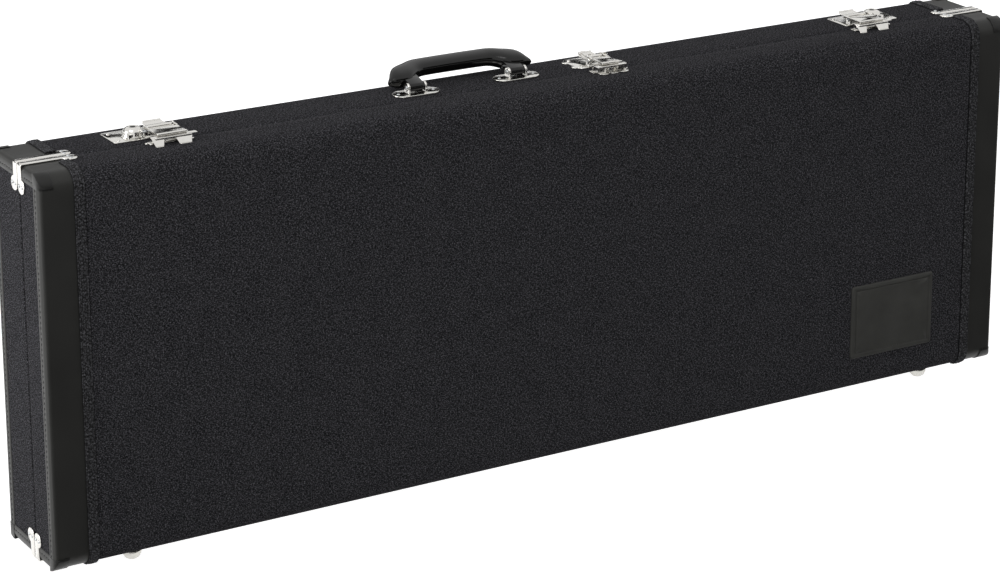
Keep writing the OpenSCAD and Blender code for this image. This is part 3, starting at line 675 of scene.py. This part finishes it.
def lines(*paths):
    """A mesh of bare edges, one line for each list of points."""
    mesh = bpy.data.meshes.new("lines")
    points, edges = [], []
    for path in paths:
        first = len(points)
        points += [tuple(p) for p in path]
        edges += [(i, i + 1) for i in range(first, len(points) - 1)]
    mesh.from_pydata(points, edges, [])
    return mesh


# %% The stitch tree
stitch_tree, given = new_tree("stitches", Pitch="Float", Length="Float", Thread="Float",
                              Finish="Material")
sewn_line = add(stitch_tree, "GeometryNodeMeshToCurve", {"Mesh": given.outputs["Geometry"]})
steps = add(stitch_tree, "GeometryNodeCurveToPoints", {
    "Curve": sewn_line, "Length": given.outputs["Pitch"]}, mode="LENGTH")
bead = add(stitch_tree, "GeometryNodeMeshUVSphere", {
    "Segments": 6, "Rings": 5, "Radius": 1.0})
long_half = add(stitch_tree, "ShaderNodeMath", {0: given.outputs["Length"], 1: 0.5},
                operation="MULTIPLY")
stitch_size = add(stitch_tree, "ShaderNodeCombineXYZ", {
    "X": given.outputs["Thread"], "Y": given.outputs["Thread"], "Z": long_half})
stitches = add(stitch_tree, "GeometryNodeInstanceOnPoints", {
    "Points": steps.outputs["Points"], "Instance": bead.outputs["Mesh"],
    "Rotation": steps.outputs["Rotation"], "Scale": stitch_size})
close_tree(stitch_tree, stitches, given.outputs["Finish"])

# %% The braid tree
# A cord whose thickness swells and narrows once for each crossing of its strands
braid_tree, given = new_tree("braid", Radius="Float", Pitch="Float", Phase="Float",
                             Swell="Float", Finish="Material")
cord_line = add(braid_tree, "GeometryNodeMeshToCurve", {"Mesh": given.outputs["Geometry"]})
fifth = add(braid_tree, "ShaderNodeMath", {0: given.outputs["Pitch"], 1: 0.2},
            operation="MULTIPLY")
even = add(braid_tree, "GeometryNodeResampleCurve", {
    "Curve": cord_line, "Length": fifth}, mode="LENGTH")
along = add(braid_tree, "GeometryNodeSplineParameter")
turns = add(braid_tree, "ShaderNodeMath", {0: along.outputs["Length"],
                                           1: given.outputs["Pitch"]}, operation="DIVIDE")
angle = add(braid_tree, "ShaderNodeMath", {0: turns, 1: 2 * math.pi,
                                           2: given.outputs["Phase"]}, operation="MULTIPLY_ADD")
ripple = add(braid_tree, "ShaderNodeMath", {0: angle}, operation="SINE")
girth = add(braid_tree, "ShaderNodeMath", {0: ripple, 1: given.outputs["Swell"],
                                           2: 0.8}, operation="MULTIPLY_ADD")
round_cord = add(braid_tree, "GeometryNodeCurvePrimitiveCircle", {
    "Resolution": 7, "Radius": given.outputs["Radius"]})
cord = add(braid_tree, "GeometryNodeCurveToMesh", {
    "Curve": even, "Profile Curve": round_cord,
    "Scale": girth, "Fill Caps": True})
close_tree(braid_tree, cord, given.outputs["Finish"])

# %% The nail tree
# Each point carries the way its nail faces and the nail's half sizes
nail_tree, given = new_tree("nails", Finish="Material")
heads = add(nail_tree, "GeometryNodeMeshToPoints", {"Mesh": given.outputs["Geometry"]})
way = add(nail_tree, "GeometryNodeInputNamedAttribute", {"Name": "way"},
          data_type="FLOAT_VECTOR")
size = add(nail_tree, "GeometryNodeInputNamedAttribute", {"Name": "size"},
           data_type="FLOAT_VECTOR")
turned = add(nail_tree, "FunctionNodeAlignRotationToVector", {"Vector": way},
             axis="Z")
dome = add(nail_tree, "GeometryNodeMeshUVSphere", {"Segments": 12, "Rings": 6, "Radius": 1.0})
nails = add(nail_tree, "GeometryNodeInstanceOnPoints", {
    "Points": heads, "Instance": dome.outputs["Mesh"],
    "Rotation": turned, "Scale": size})
close_tree(nail_tree, nails, given.outputs["Finish"])
print("trees:", stitch_tree.name, braid_tree.name, nail_tree.name)


# %% Reading the CAD nodes
def cad_copy(node, flat_angle=0.5):
    """A CAD node's mesh as a bmesh in the shared frame: merged, with its flat faces whole."""
    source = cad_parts[node]
    build = bmesh.new()
    build.from_mesh(source.data)
    build.transform(source.matrix_world)
    bmesh.ops.remove_doubles(build, verts=build.verts, dist=SAME_POINT)
    bmesh.ops.dissolve_limit(build, angle_limit=math.radians(flat_angle),
                             verts=build.verts, edges=build.edges)
    return build


def islands(build):
    """The low and high corners of each separate solid in a bmesh."""
    left, found = set(build.verts), []
    while left:
        stack, group = [left.pop()], []
        while stack:
            vert = stack.pop()
            group.append(vert.co.copy())
            for edge in vert.link_edges:
                other = edge.other_vert(vert)
                if other in left:
                    left.remove(other)
                    stack.append(other)
        found.append((Vector(map(min, zip(*group))), Vector(map(max, zip(*group)))))
    return sorted(found, key=lambda pair: tuple(pair[0]))


def refined(node, material, body, slot, bevel=0.3 * MM, sharp=35.0):
    """A CAD node's shape with its sharp edges rounded, as pressing or moulding leaves them."""
    made = as_object(node + "_finished", as_mesh(cad_copy(node), node + "_finished"))
    modify(made, "BEVEL", width=bevel, segments=2, limit_method="ANGLE",
           angle_limit=math.radians(32))
    return piece(baked(made), material, body, slot, node, sharp=sharp)


def nailed(node, material, body, slot):
    """Domed heads at the places where the CAD model has its nails or rivets."""
    build = cad_copy(node)
    found = islands(build)
    build.free()
    points, ways, sizes = [], [], []
    for low, high in found:
        span, middle = high - low, (high + low) / 2
        axis = min(range(3), key=lambda i: span[i])
        outward = Vector((0.0, 0.0, 0.0))
        outward[axis] = 1.0 if middle[axis] > CASE_MIDDLE[axis] else -1.0
        points.append(middle - outward * span[axis] / 2)
        ways.append(outward)
        sizes.append(Vector((max(span) / 2, max(span) / 2, span[axis])))
    mesh = bpy.data.meshes.new("nail_points")
    mesh.from_pydata([tuple(p) for p in points], [], [])
    for label, values in (("way", ways), ("size", sizes)):
        layer = mesh.attributes.new(label, "FLOAT_VECTOR", "POINT")
        layer.data.foreach_set("vector", [v for value in values for v in value])
    made = grow(node + "_domes", nail_tree, mesh, Finish=material)
    print(node, len(found), "heads")
    return piece(made, None, body, slot, node, sharp=60.0)


# %% [markdown]
# ## The trim bands
#
# Where the denim meets the vinyl a braided band covers the joint. It is woven from black cord:
# four cords lie side by side on a flat tape, and a thinner piping runs along the outer edge.
# Each cord swells where its strands cross. The tape is near black, partly its own colour and
# partly painted shade for the gap beside the cords.

# %% Braid finish
braid, tree, shader, where = new_finish(
    "black_woven_cord", Roughness=0.8, IOR=1.5, Specular_IOR_Level=0.25)
fibres = add(tree, "ShaderNodeTexNoise", {
    "Vector": where, "Scale": 0.5 * PER_MM, "Detail": 3.0, "Roughness": 0.7})
shade = add(tree, "ShaderNodeMapRange", {"Value": fibres, 1: 0.45, 2: 0.75})
twist = add(tree, "ShaderNodeMix", {
    0: shade, 6: colour("#171718"), 7: colour("#66666a")}, data_type="RGBA")
bump = add(tree, "ShaderNodeBump", {"Height": fibres, "Strength": 0.6, "Distance": 0.3 * MM})
wire(tree, shader, Base_Color=twist.outputs[2], Normal=bump)
# near-black tape: its own dark colour, and painted shade where it shows in the gaps beside the
# cords and at the rims
dark_tape_and_gap_shade = drifting("black_tape", "#0c0c0d", "#18181a", 0.6 * PER_MM, 2.0,
                Roughness=0.9, Specular_IOR_Level=0.15)
print(braid.name, dark_tape_and_gap_shade.name)

# %% Trim bands
# each corner of the tape's section: offset along X and height, in mm
TAPE_SECTION = ((-5.5, -0.3), (-5.3, 0.7), (-2.0, 1.0), (2.0, 1.0), (5.3, 0.7), (5.5, -0.3))
# each cord: offset along X, height, radius and pitch, in mm
CORDS = ((-3.4, 0.8, 1.6, 3.4), (-1.2, 0.95, 1.6, 3.4), (1.0, 0.95, 1.6, 3.4),
         (2.9, 0.8, 1.5, 3.4), (4.7, 1.1, 0.9, 2.0))


def band_path(half, height, face=50):
    """A line of (y, z) points round a half, between its clamps."""
    return half_outline(half, -height, rim_y=PART_Y + OUT[half] * CLAMP_ROOM, face=face)


def trim_band(half):
    """The tape and the five cords of a half's two bands."""
    meshes = []
    for end in (-1, 1):
        rails = [band_path(half, height * MM) for _, height in TAPE_SECTION]
        rings = [[(end * (BAND_X + offset * MM), *rail[i])
                  for (offset, _), rail in zip(TAPE_SECTION, rails)]
                 for i in range(len(rails[0]))]
        flat = skin(rings, closed=True, caps=True)
        flat.materials.append(dark_tape_and_gap_shade)
        meshes.append(flat)
    tape_object = as_object(half + "_band_tape", joined(half + "_band_tape", *meshes))
    piece(tape_object, dark_tape_and_gap_shade, half, "band", half + "_trim_bands")
    cords = []
    for number, (offset, height, radius, pitch) in enumerate(CORDS):
        paths = [[(end * (BAND_X + offset * MM), y, z)
                  for y, z in band_path(half, height * MM)] for end in (-1, 1)]
        cords.append(grow("cord", braid_tree, lines(*paths), Radius=radius * MM,
                          Pitch=pitch * MM, Phase=math.pi * (number % 2), Swell=0.2,
                          Finish=braid))
    made = merged(half + "_band_braid", cords)
    made.data.materials.append(braid)
    piece(made, None, half, "band", half + "_trim_bands", sharp=60.0)
    print(made.name, len(made.data.polygons), "faces")


def turned_in(half):
    """The strip that is turned in over the edge of the plywood at a rim and glued down."""
    section = ((0.9, 0.5), (0.9, -0.06), (1.2, -0.18), (6.0, -0.18), (6.55, -0.06),
               (6.55, 0.5 if half == "base" else 8.6))  # depth and height, in mm
    rings = [rounded_ring(END_X - d * MM, (TOP_Z - BOTTOM_Z) / 2 - d * MM,
                          max(5.0 - d, 0.5) * MM, RIM_Y[half] + OUT[half] * h * MM,
                          (0.0, MIDDLE_Z), side=20) for d, h in section]
    made = as_object(half + "_turned_in_edge",
                     skin(rings + [rings[0]], closed=True, weld=True))
    # the turned-in edge takes the near-black tape finish, painted shade in the gap between the
    # halves
    piece(made, dark_tape_and_gap_shade, half, "denim", half + "_cover")
    print(made.name, len(made.data.polygons), "faces")


for half in HALVES:
    trim_band(half)
    turned_in(half)

# %% [markdown]
# ## Stitches
#
# The border round each end panel is sewn down with black thread, about five stitches in 25 mm.

# %% Border stitches
thread = drifting("black_waxed_thread", "#060606", "#161616", 1.0 * PER_MM, 1.0,
                  Roughness=0.55)
STITCH_PITCH, STITCH_LONG, THREAD_R = 5.0 * MM, 2.6 * MM, 0.55 * MM
for half in HALVES:
    paths = []
    for end in (-1, 1):
        x = end * (END_X + border_height(STITCH_IN) + 0.1 * MM)
        paths.append([(x, y, z) for y, z in band_path(half, -STITCH_IN, face=60)])
    sewn = grow(half + "_border_stitches", stitch_tree, lines(*paths), Pitch=STITCH_PITCH,
                Length=STITCH_LONG, Thread=THREAD_R, Finish=thread)
    piece(sewn, None, half, "vinyl", half + "_end_covers", sharp=60.0)
    print(sewn.name, len(sewn.data.polygons), "faces")

# %% [markdown]
# ## Bright nickel plate
#
# The clamps, latches, strikes and ears are pressed steel, polished and nickel plated. Nickel is
# a little warmer and darker than chrome. Handling leaves faint smears, so the roughness varies.

# %% Metals
# name, its two tones, the scale of its smears, and its roughness where they are faint and strong
nickel, steel, foot_metal, brass = [
    drifting(name, low_hex, high_hex, scale, 4.0, polish=(0.3, 0.7, smooth, rough),
             dents=(0.12, 0.2 * MM), grit=0.6, Metallic=1.0)
    for name, low_hex, high_hex, scale, smooth, rough in (
        ("bright_nickel_plate", "#cfcdc8", "#dedcd8", 160.0, 0.08, 0.20),
        ("zinc_plated_steel", "#a9abad", "#c3c5c6", 220.0, 0.28, 0.42),
        ("nickel_plated_foot", "#b9b7b2", "#cdcbc6", 160.0, 0.15, 0.30),
        ("nickel_plated_brass", "#c2b48c", "#d0c6a8", 200.0, 0.18, 0.30))]
enamel = drifting("black_enamelled_steel", "#1c1c1b", "#262625", 400.0, 2.0,
                  polish=(0.0, 1.0, 0.30, 0.44), IOR=1.5, Specular_IOR_Level=0.25)
print(nickel.name, steel.name, foot_metal.name, brass.name, enamel.name)

# %% Clamps, hinges and feet
for half in HALVES:
    refined(half + "_clamps", nickel, half, "chrome", 0.55 * MM)
    nailed(half + "_clamp_nails", steel, half, "steel")
    refined(half + "_corner_caps", enamel, half, "cap", 0.25 * MM)
    refined(half + "_hinge_leaves", nickel, half, "chrome")
    refined(half + "_feet", foot_metal, half, "feet", 0.6 * MM)


# %% Shapes for the latches
LEVER_PIVOT, LEVER_LONG = Vector((0.0, 6 * MM, 386 * MM)), 28 * MM


def shifted(made, dx):
    """Moves a finished mesh along its hinge line, which leaves its swing as it was."""
    made.data.transform(Matrix.Translation((dx, 0.0, 0.0)))
    return made


def pressed_lever(made, shorter=0.72, narrower=0.3, degrees=-13.0):
    """Tapers a lever's free end, and lets it lie closer to its plate."""
    xs = [v.co.x for v in made.data.vertices]
    middle = (min(xs) + max(xs)) / 2
    for vertex in made.data.vertices:
        past = vertex.co.y - LEVER_PIVOT.y
        if past > 0:
            vertex.co.y = LEVER_PIVOT.y + past * shorter
            vertex.co.x = middle + (vertex.co.x - middle) * (1 - narrower * past / LEVER_LONG)
    made.data.transform(Matrix.Translation(LEVER_PIVOT)
                        @ Matrix.Rotation(math.radians(degrees), 4, "X")
                        @ Matrix.Translation(-LEVER_PIVOT))


def lathe(profile, centre, around=24, half_x=MM, half_y=MM, tilt=0.0):
    """A closed turned shape: (radius, height in mm) pairs about an upright axis.

    half_x and half_y stretch the radius to an oval, and tilt lifts its far side.
    """
    rings = []
    for radius, height in profile:
        turns = [2 * math.pi * j / around for j in range(around)]
        rings.append([(centre[0] + radius * half_x * math.cos(turn),
                       centre[1] + radius * half_y * math.sin(turn),
                       centre[2] + height * MM + tilt * radius * half_y * math.sin(turn))
                      for turn in turns])
    return skin(rings, closed=True, caps=True)


def pressed_strip(name, sections, thickness=0.9 * MM):
    """A strip of sheet metal: each section is its two ends in x, then its y and z, in mm."""
    stations = [[p + (q - p) * i / 3 for p, q in zip(a, b)]
                for a, b in zip(sections, sections[1:]) for i in range(3)] + [sections[-1]]
    rings = [[((x0 + (x1 - x0) * k / 4) * MM, y * MM, z * MM) for k in range(5)]
             for x0, x1, y, z in stations]
    made = as_object(name, face_away(skin(rings), CASE_MIDDLE))
    modify(made, "SOLIDIFY", thickness=thickness, offset=-1.0)
    modify(made, "BEVEL", width=0.2 * MM, segments=1, limit_method="ANGLE",
           angle_limit=math.radians(50))
    return baked(made)


# %% Side latches
# each knob stands on its plate: where along X, and how far from the rim and above the top
KNOB_X, KNOB_BACK, KNOB_UP = {"left": -410 * MM, "right": 409 * MM}, 21.5 * MM, 1.3 * MM
KNOB = ((11.0, 0.0), (11.0, 0.9), (9.6, 1.4), (9.2, 2.2), (9.2, 4.4), (8.7, 6.2), (7.4, 7.9),
        (5.4, 9.1), (4.4, 9.3), (3.8, 8.7), (2.2, 8.5), (0.4, 8.5))
# a black disc set into the dip in the knob's top: its black is painted shade standing for the
# knob's hollow
KNOB_HOLE_SHADE_DISC = ((2.6, 7.8), (2.6, 9.0), (2.2, 9.1), (0.3, 9.1))
# the strike's apron and its two tongues, about the strike's middle: x, x, y, z in mm
APRON = ((-20, 21, -15.0, 387.4), (-21, 23, -17.5, 387.6), (-21, 24, -20.0, 386.9))
TONGUES = ((-21.0, -9.0), (2.0, 18.0))
TONGUE = ((0.0, -19.6, 387.2), (0.3, -22.0, 385.0), (2.0, -25.0, 380.6), (2.6, -26.5, 380.4))

for side, inwards in (("left", 4 * MM), ("right", -4 * MM)):
    refined("latch_plate_" + side, nickel, "base", "chrome", 0.35 * MM)
    refined("latch_pin_" + side, steel, "base", "steel")
    knob_at = (KNOB_X[side], PART_Y + KNOB_BACK, TOP_Z + KNOB_UP)
    # each knob is a nickel dome with a black enamel disc of painted hollow shade in its top
    for name, profile, around, finish in (("latch_knob_", KNOB, 24, nickel),
                                          ("latch_knob_hole_", KNOB_HOLE_SHADE_DISC, 16, enamel)):
        piece(as_object(name + side, lathe(profile, knob_at, around)), finish, "base",
              "chrome", "latch_plate_" + side)
    lever = refined("latch_lever_" + side, nickel, "latch_lever_" + side, "chrome", 0.45 * MM)
    pressed_lever(shifted(lever, inwards))
    shifted(refined("latch_link_pin_" + side, steel, "latch_lever_" + side, "steel"), inwards)
    shifted(refined("latch_link_" + side, nickel, "latch_link_" + side, "chrome"), inwards)
    shifted(refined("strike_" + side, nickel, "lid", "chrome", 0.35 * MM), inwards)
    low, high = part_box("strike_" + side)
    at = (low.x + high.x) / 2 / MM + inwards / MM
    strips = [pressed_strip("apron", [(at + a, at + b, y, z) for a, b, y, z in APRON])]
    strips += [pressed_strip("tongue", [(at + a + narrow, at + b - narrow, y, z)
                                        for narrow, y, z in TONGUE]) for a, b in TONGUES]
    piece(merged("strike_apron_" + side, strips), nickel, "lid", "chrome", "strike_" + side)

# %% Lock, hinge pins and handle fittings
SPOON_AT, SPOON_WIDE, SPOON_LONG, SPOON_TILT = (
    Vector((70.5, 17.5, 386.5)) * MM, 8.6 * MM, 13.0 * MM, 0.12)
# the dished end of the lock's lever: a share of its half sizes, and a height in mm
SPOON = ((0.93, 0.0), (1.0, 0.5), (1.0, 1.2), (0.92, 1.7), (0.82, 1.5),
         (0.72, 0.7), (0.45, 0.55), (0.05, 0.55))

refined("lock_plate", nickel, "base", "chrome", 0.35 * MM)
refined("lock_pin", steel, "base", "steel")
pressed_lever(refined("lock_lever", nickel, "lock_lever", "chrome", 0.45 * MM))
spoon = as_object("lock_lever_spoon",
                  lathe(SPOON, SPOON_AT, 32, SPOON_WIDE, SPOON_LONG, SPOON_TILT))
piece(spoon, nickel, "lock_lever", "chrome", "lock_lever")
refined("lock_link_pin", steel, "lock_lever", "steel")
refined("lock_link", nickel, "lock_link", "chrome", 0.4 * MM)
refined("strike_lock", nickel, "lid", "chrome", 0.35 * MM)
refined("key_plug", brass, "key_plug", "brass")
refined("hinge_pins", steel, "base", "steel")
refined("handle_plates", nickel, "base", "chrome", 0.5 * MM)
refined("handle_pins", steel, "base", "steel")
nailed("latch_rivets", nickel, "base", "chrome")
nailed("lock_rivets", nickel, "base", "chrome")
nailed("strike_rivets", nickel, "lid", "chrome")
nailed("handle_nails", steel, "base", "steel")
# %% [markdown]
# ## The handle
#
# The handle is moulded from soft black vinyl over a steel strip and polished by the hand. It
# lies over towards the back on its two pivots. Its section is a flattened round that swells
# into a bulb at each end and then curls in to a thin lip.

# %% Handle finish
grip_skin = drifting("polished_moulded_vinyl", "#070707", "#0f0f0e", 90.0, 3.0,
                     polish=(0.3, 0.7, 0.07, 0.18), dents=(0.2, 0.5 * MM),
                     IOR=1.5, Specular_IOR_Level=0.35)
print(grip_skin.name, "made")

# %% Grip
HANDLE_X, PIVOT_Y, PIVOT_Z = -70 * MM, 9 * MM, 387 * MM
LEAN = math.radians(73)
# distance from the middle, reach from the pivots, half thickness, half width; all in mm
GRIP = ((0, 31.0, 7.2, 9.6), (34, 30.6, 7.2, 9.7), (41, 29.3, 7.5, 10.4),
        (47, 26.2, 8.0, 11.8), (53, 22.6, 8.4, 12.8), (60, 20.4, 8.4, 12.6),
        (66, 18.6, 8.0, 11.0), (70, 16.6, 6.8, 8.2), (73.5, 14.0, 4.6, 4.6),
        (76.5, 12.2, 2.6, 2.2), (78, 11.6, 0.6, 0.5))


def grip_station(distance):
    """Reach, half thickness and half width at a distance, on a smooth curve through GRIP."""
    i = next((n for n, row in enumerate(GRIP[1:]) if distance <= row[0]), len(GRIP) - 2)
    before, a, b = GRIP[max(i - 1, 0)], GRIP[i], GRIP[i + 1]
    after = GRIP[min(i + 2, len(GRIP) - 1)]
    span = b[0] - a[0]
    share = min(max((distance - a[0]) / span, 0.0), 1.0)
    found = []
    for k in (1, 2, 3):
        leave = (b[k] - before[k]) / (b[0] - before[0]) * span if i else 0.0
        arrive = (after[k] - a[k]) / (after[0] - a[0]) * span
        found.append(a[k] * (2 * share**3 - 3 * share**2 + 1)
                     + leave * (share**3 - 2 * share**2 + share)
                     + b[k] * (3 * share**2 - 2 * share**3)
                     + arrive * (share**3 - share**2))
    return found


def leaning(x, y, z):
    """A point beside the pivot line, leaned over with the handle; mm in, metres out."""
    return (HANDLE_X + x * MM,
            PIVOT_Y + (y * math.cos(LEAN) + z * math.sin(LEAN)) * MM,
            PIVOT_Z + (z * math.cos(LEAN) - y * math.sin(LEAN)) * MM)


def grip_mesh(steps=72, around=28, square=2 / 2.5):
    """The grip's skin; square is below 1 to flatten the sides of its round section."""
    rings = []
    for i in range(steps + 1):
        x = GRIP[-1][0] * math.sin(math.pi / 2 * (2 * i / steps - 1))
        reach, thick, wide = grip_station(abs(x))
        ring = []
        for j in range(around):
            angle = 2 * math.pi * j / around
            c, s = math.cos(angle), math.sin(angle)
            ring.append(leaning(x, thick * math.copysign(abs(c) ** square, c),
                                reach + wide * math.copysign(abs(s) ** square, s)))
        rings.append(ring)
    return skin(rings, closed=True, caps=True)


grip = as_object("handle_grip_moulding", grip_mesh())
modify(grip, "SUBSURF", levels=1, render_levels=1)
piece(baked(grip), grip_skin, "handle", "handle", "handle_grip", sharp=80.0)
refined("handle_blocks", grip_skin, "handle", "handle", 0.8 * MM)
print("grip", len(grip.data.polygons), "faces")

# %% [markdown]
# ## The leather patch
#
# A patch of black leather is glued low on the right of the lid. It is left bare. Its edge is
# cut and rounded over, and a hot tool has pressed one thin line round it.

# %% Patch
leather, tree, shader, where = new_finish(
    "black_smooth_leather", IOR=1.5, Specular_IOR_Level=0.3)
pores = add(tree, "ShaderNodeTexVoronoi", {
    "Vector": where, "Scale": 0.7 * PER_MM}, feature="F1")
cloud = add(tree, "ShaderNodeTexNoise", {
    "Vector": where, "Scale": 45.0, "Detail": 5.0, "Roughness": 0.65})
tone = add(tree, "ShaderNodeMix", {
    0: cloud, 6: colour("#2d2d2b"), 7: colour("#464643")}, data_type="RGBA")
dull = add(tree, "ShaderNodeMapRange", {"Value": cloud, 3: 0.48, 4: 0.66})
bump = add(tree, "ShaderNodeBump", {"Height": pores, "Strength": 0.3, "Distance": 0.15 * MM})
wire(tree, shader, Base_Color=tone.outputs[2], Roughness=dull, Normal=bump)
patch_low, patch_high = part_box("patch")
patch_hx, patch_hz = (patch_high.x - patch_low.x) / 2, (patch_high.z - patch_low.z) / 2
patch_at = ((patch_low.x + patch_high.x) / 2, (patch_low.z + patch_high.z) / 2)
# how far in from the edge, and how high: cut edge, rounded shoulder, pressed line, crown
PATCH_STEPS = ((0.2, -0.3), (0.0, 0.9), (0.3, 1.7), (1.0, 2.15), (4.4, 2.25), (4.8, 1.75),
               (5.6, 1.7), (6.0, 2.25), (12.0, 2.38), (22.0, 2.4), (36.0, 2.4))
rings = [rounded_ring(patch_hx - d * MM, patch_hz - d * MM, max(3.0 - d, 0.6) * MM,
                      FRONT_Y - h * MM, patch_at) for d, h in PATCH_STEPS]
badge = as_object("leather_patch", skin(rings, closed=True, caps=True))
piece(badge, leather, "lid", "leather", "patch", sharp=50.0)
print("patch", len(badge.data.polygons), "faces")

# %% [markdown]
# ## Inside
#
# The inside is lined with charcoal plush over foam, and so are the neck rest and the two
# shoulder cushions. The small compartment is board covered with the same plush.

# %% Plush finish
def plush_finish(name, low_hex, high_hex):
    """A short pile whose fibres catch the light at its edges, brushed unevenly."""
    material, tree, shader, where = new_finish(
        name, Roughness=0.95, Specular_IOR_Level=0.05, Sheen_Weight=0.35,
        Sheen_Roughness=0.4, Sheen_Tint=colour("#9a9aa4"))
    pile = add(tree, "ShaderNodeTexNoise", {
        "Vector": where, "Scale": 0.6 * PER_MM, "Detail": 2.0})
    brushed = add(tree, "ShaderNodeTexNoise", {"Vector": where, "Scale": 14.0, "Detail": 4.0})
    mixed = add(tree, "ShaderNodeMath", {0: pile, 1: brushed}, operation="MULTIPLY")
    spread = add(tree, "ShaderNodeMapRange", {"Value": mixed, 1: 0.15, 2: 0.40})
    tone = add(tree, "ShaderNodeMix", {
        0: spread, 6: colour(low_hex), 7: colour(high_hex)}, data_type="RGBA")
    bump = add(tree, "ShaderNodeBump", {"Height": pile, "Strength": 0.6, "Distance": 0.5 * MM})
    wire(tree, shader, Base_Color=tone.outputs[2], Normal=bump)
    return material


plush = plush_finish("charcoal_plush", "#26262a", "#4a4a52")
box_plush = plush_finish("dark_plush_board", "#1f1f23", "#3a3a41")


# %% Linings
LINING_T = 6 * MM


def lining(half):
    """A padded tray: up the outside, over the rim, down the walls and across a soft floor."""
    side, (low, high) = OUT[half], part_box(half + "_lining")
    rim_y, floor_y = (low.y, high.y) if half == "base" else (high.y, low.y)
    outer_depth = END_X - high.x
    inner_depth = outer_depth + LINING_T
    hx, hz = END_X, (TOP_Z - BOTTOM_Z) / 2
    inner_floor = floor_y - side * LINING_T
    sections = [(outer_depth + hz * 0.9, floor_y), (outer_depth + 6 * MM, floor_y),
                (outer_depth + 1.5 * MM, floor_y - side * 0.3 * MM),
                (outer_depth, floor_y - side * 2 * MM),
                (outer_depth, rim_y + side * 1.2 * MM),
                (outer_depth + 1.2 * MM, rim_y), (inner_depth - 1.2 * MM, rim_y),
                (inner_depth, rim_y + side * 1.2 * MM)]
    deep = abs(inner_floor - rim_y)
    for i in range(1, 7):
        share = i / 7
        sections.append((inner_depth + 0.8 * MM * math.sin(math.pi * share),
                         rim_y + side * deep * share))
    run = hz - inner_depth - 3 * MM
    for i in range(10):
        share = i / 9
        soft = 1.2 * MM * math.exp(-share * 6)
        sections.append((inner_depth + 1.0 * MM + run * share, inner_floor - side * soft))
    rings = [rounded_ring(hx - d, hz - d, max(10 * MM - (d - outer_depth), 2 * MM), y,
                          (0.0, MIDDLE_Z), side=24) for d, y in sections]
    made = as_object(half + "_plush_lining", skin(rings, closed=True, caps=True))
    piece(made, plush, half, "lining", half + "_lining", sharp=60.0)
    print(made.name, len(made.data.polygons), "faces")


for half in HALVES:
    lining(half)


# %% Neck rest and shoulder cushions
PRESSURE, SWELL_CAP = 4.0, 1.5 * MM  # how hard the foam is blown up, and how far it may go


def upholstered(node, material, body, slot, cell=5 * MM, frames=20):
    """Foam under plush: the CAD block is remeshed and blown up a little, then smoothed."""
    made = as_object(node + "_foam", as_mesh(cad_copy(node), node + "_foam"))
    modify(made, "REMESH", mode="VOXEL", voxel_size=cell)
    baked(made)
    before = [v.co.copy() for v in made.data.vertices]
    cloth = modify(made, "CLOTH")
    cloth.settings.use_pressure = True
    cloth.settings.uniform_pressure_force = PRESSURE
    cloth.settings.effector_weights.gravity = 0.0
    for number in range(1, frames + 1):
        scene.frame_set(number)
    baked(made)
    scene.frame_set(1)
    for vertex, start in zip(made.data.vertices, before):
        moved = vertex.co - start
        if moved.length > SWELL_CAP:
            vertex.co = start + moved * (SWELL_CAP / moved.length)
    modify(made, "SMOOTH", iterations=3, factor=0.5)
    modify(made, "SUBSURF", levels=1, render_levels=1)
    baked(made)
    piece(made, material, body, slot, node, sharp=70.0)
    print(made.name, len(made.data.polygons), "faces")


upholstered("neck_rest", plush, "base", "lining")
upholstered("body_cushions", plush, "base", "lining")
refined("compartment_box", box_plush, "base", "compartment", 0.9 * MM)
refined("compartment_lid", box_plush, "compartment_lid", "compartment", 0.9 * MM)
refined("compartment_hinge_pin", steel, "base", "steel")
# the rim lip takes the same near-black finish: its own black and painted shade of the gap at the
# rim
refined("rim_lip", dark_tape_and_gap_shade, "base", "vinyl", 0.5 * MM)

# %% Ribbon pull and plywood
ribbon, tree, shader, where = new_finish("grosgrain_ribbon", Roughness=0.6)
# a wave texture's upright bands repeat every 2 pi / (20 scale)
ridges = add(tree, "ShaderNodeTexWave", {
    "Vector": where, "Scale": 2 * math.pi / (20 * 1.2 * MM)},
    wave_type="BANDS", bands_direction="Z")
tone = add(tree, "ShaderNodeMix", {
    0: ridges.outputs[1], 6: colour("#141416"), 7: colour("#2a2a2e")}, data_type="RGBA")
wire(tree, shader, Base_Color=tone.outputs[2])
refined("compartment_pull", ribbon, "compartment_lid", "ribbon", 0.2 * MM)

plywood, tree, shader, where = new_finish("birch_plywood", Roughness=0.6)
squeezed = add(tree, "ShaderNodeMapping", {"Vector": where, "Scale": (0.08, 1.0, 1.0)})
figure = add(tree, "ShaderNodeTexNoise", {
    "Vector": squeezed, "Scale": 160.0, "Detail": 5.0, "Roughness": 0.6})
tone = add(tree, "ShaderNodeMix", {
    0: figure, 6: colour("#b08a5a"), 7: colour("#d8bb8b")}, data_type="RGBA")
wire(tree, shader, Base_Color=tone.outputs[2])
for half in HALVES:
    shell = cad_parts[half + "_shell"]
    shell.data.materials.clear()
    shell.data.materials.append(plywood)
print(ribbon.name, plywood.name)

# %% [markdown]
# ## Finish
#
# The colour view is set to Standard.

# %% Colour view
scene.view_settings.view_transform = "Standard"
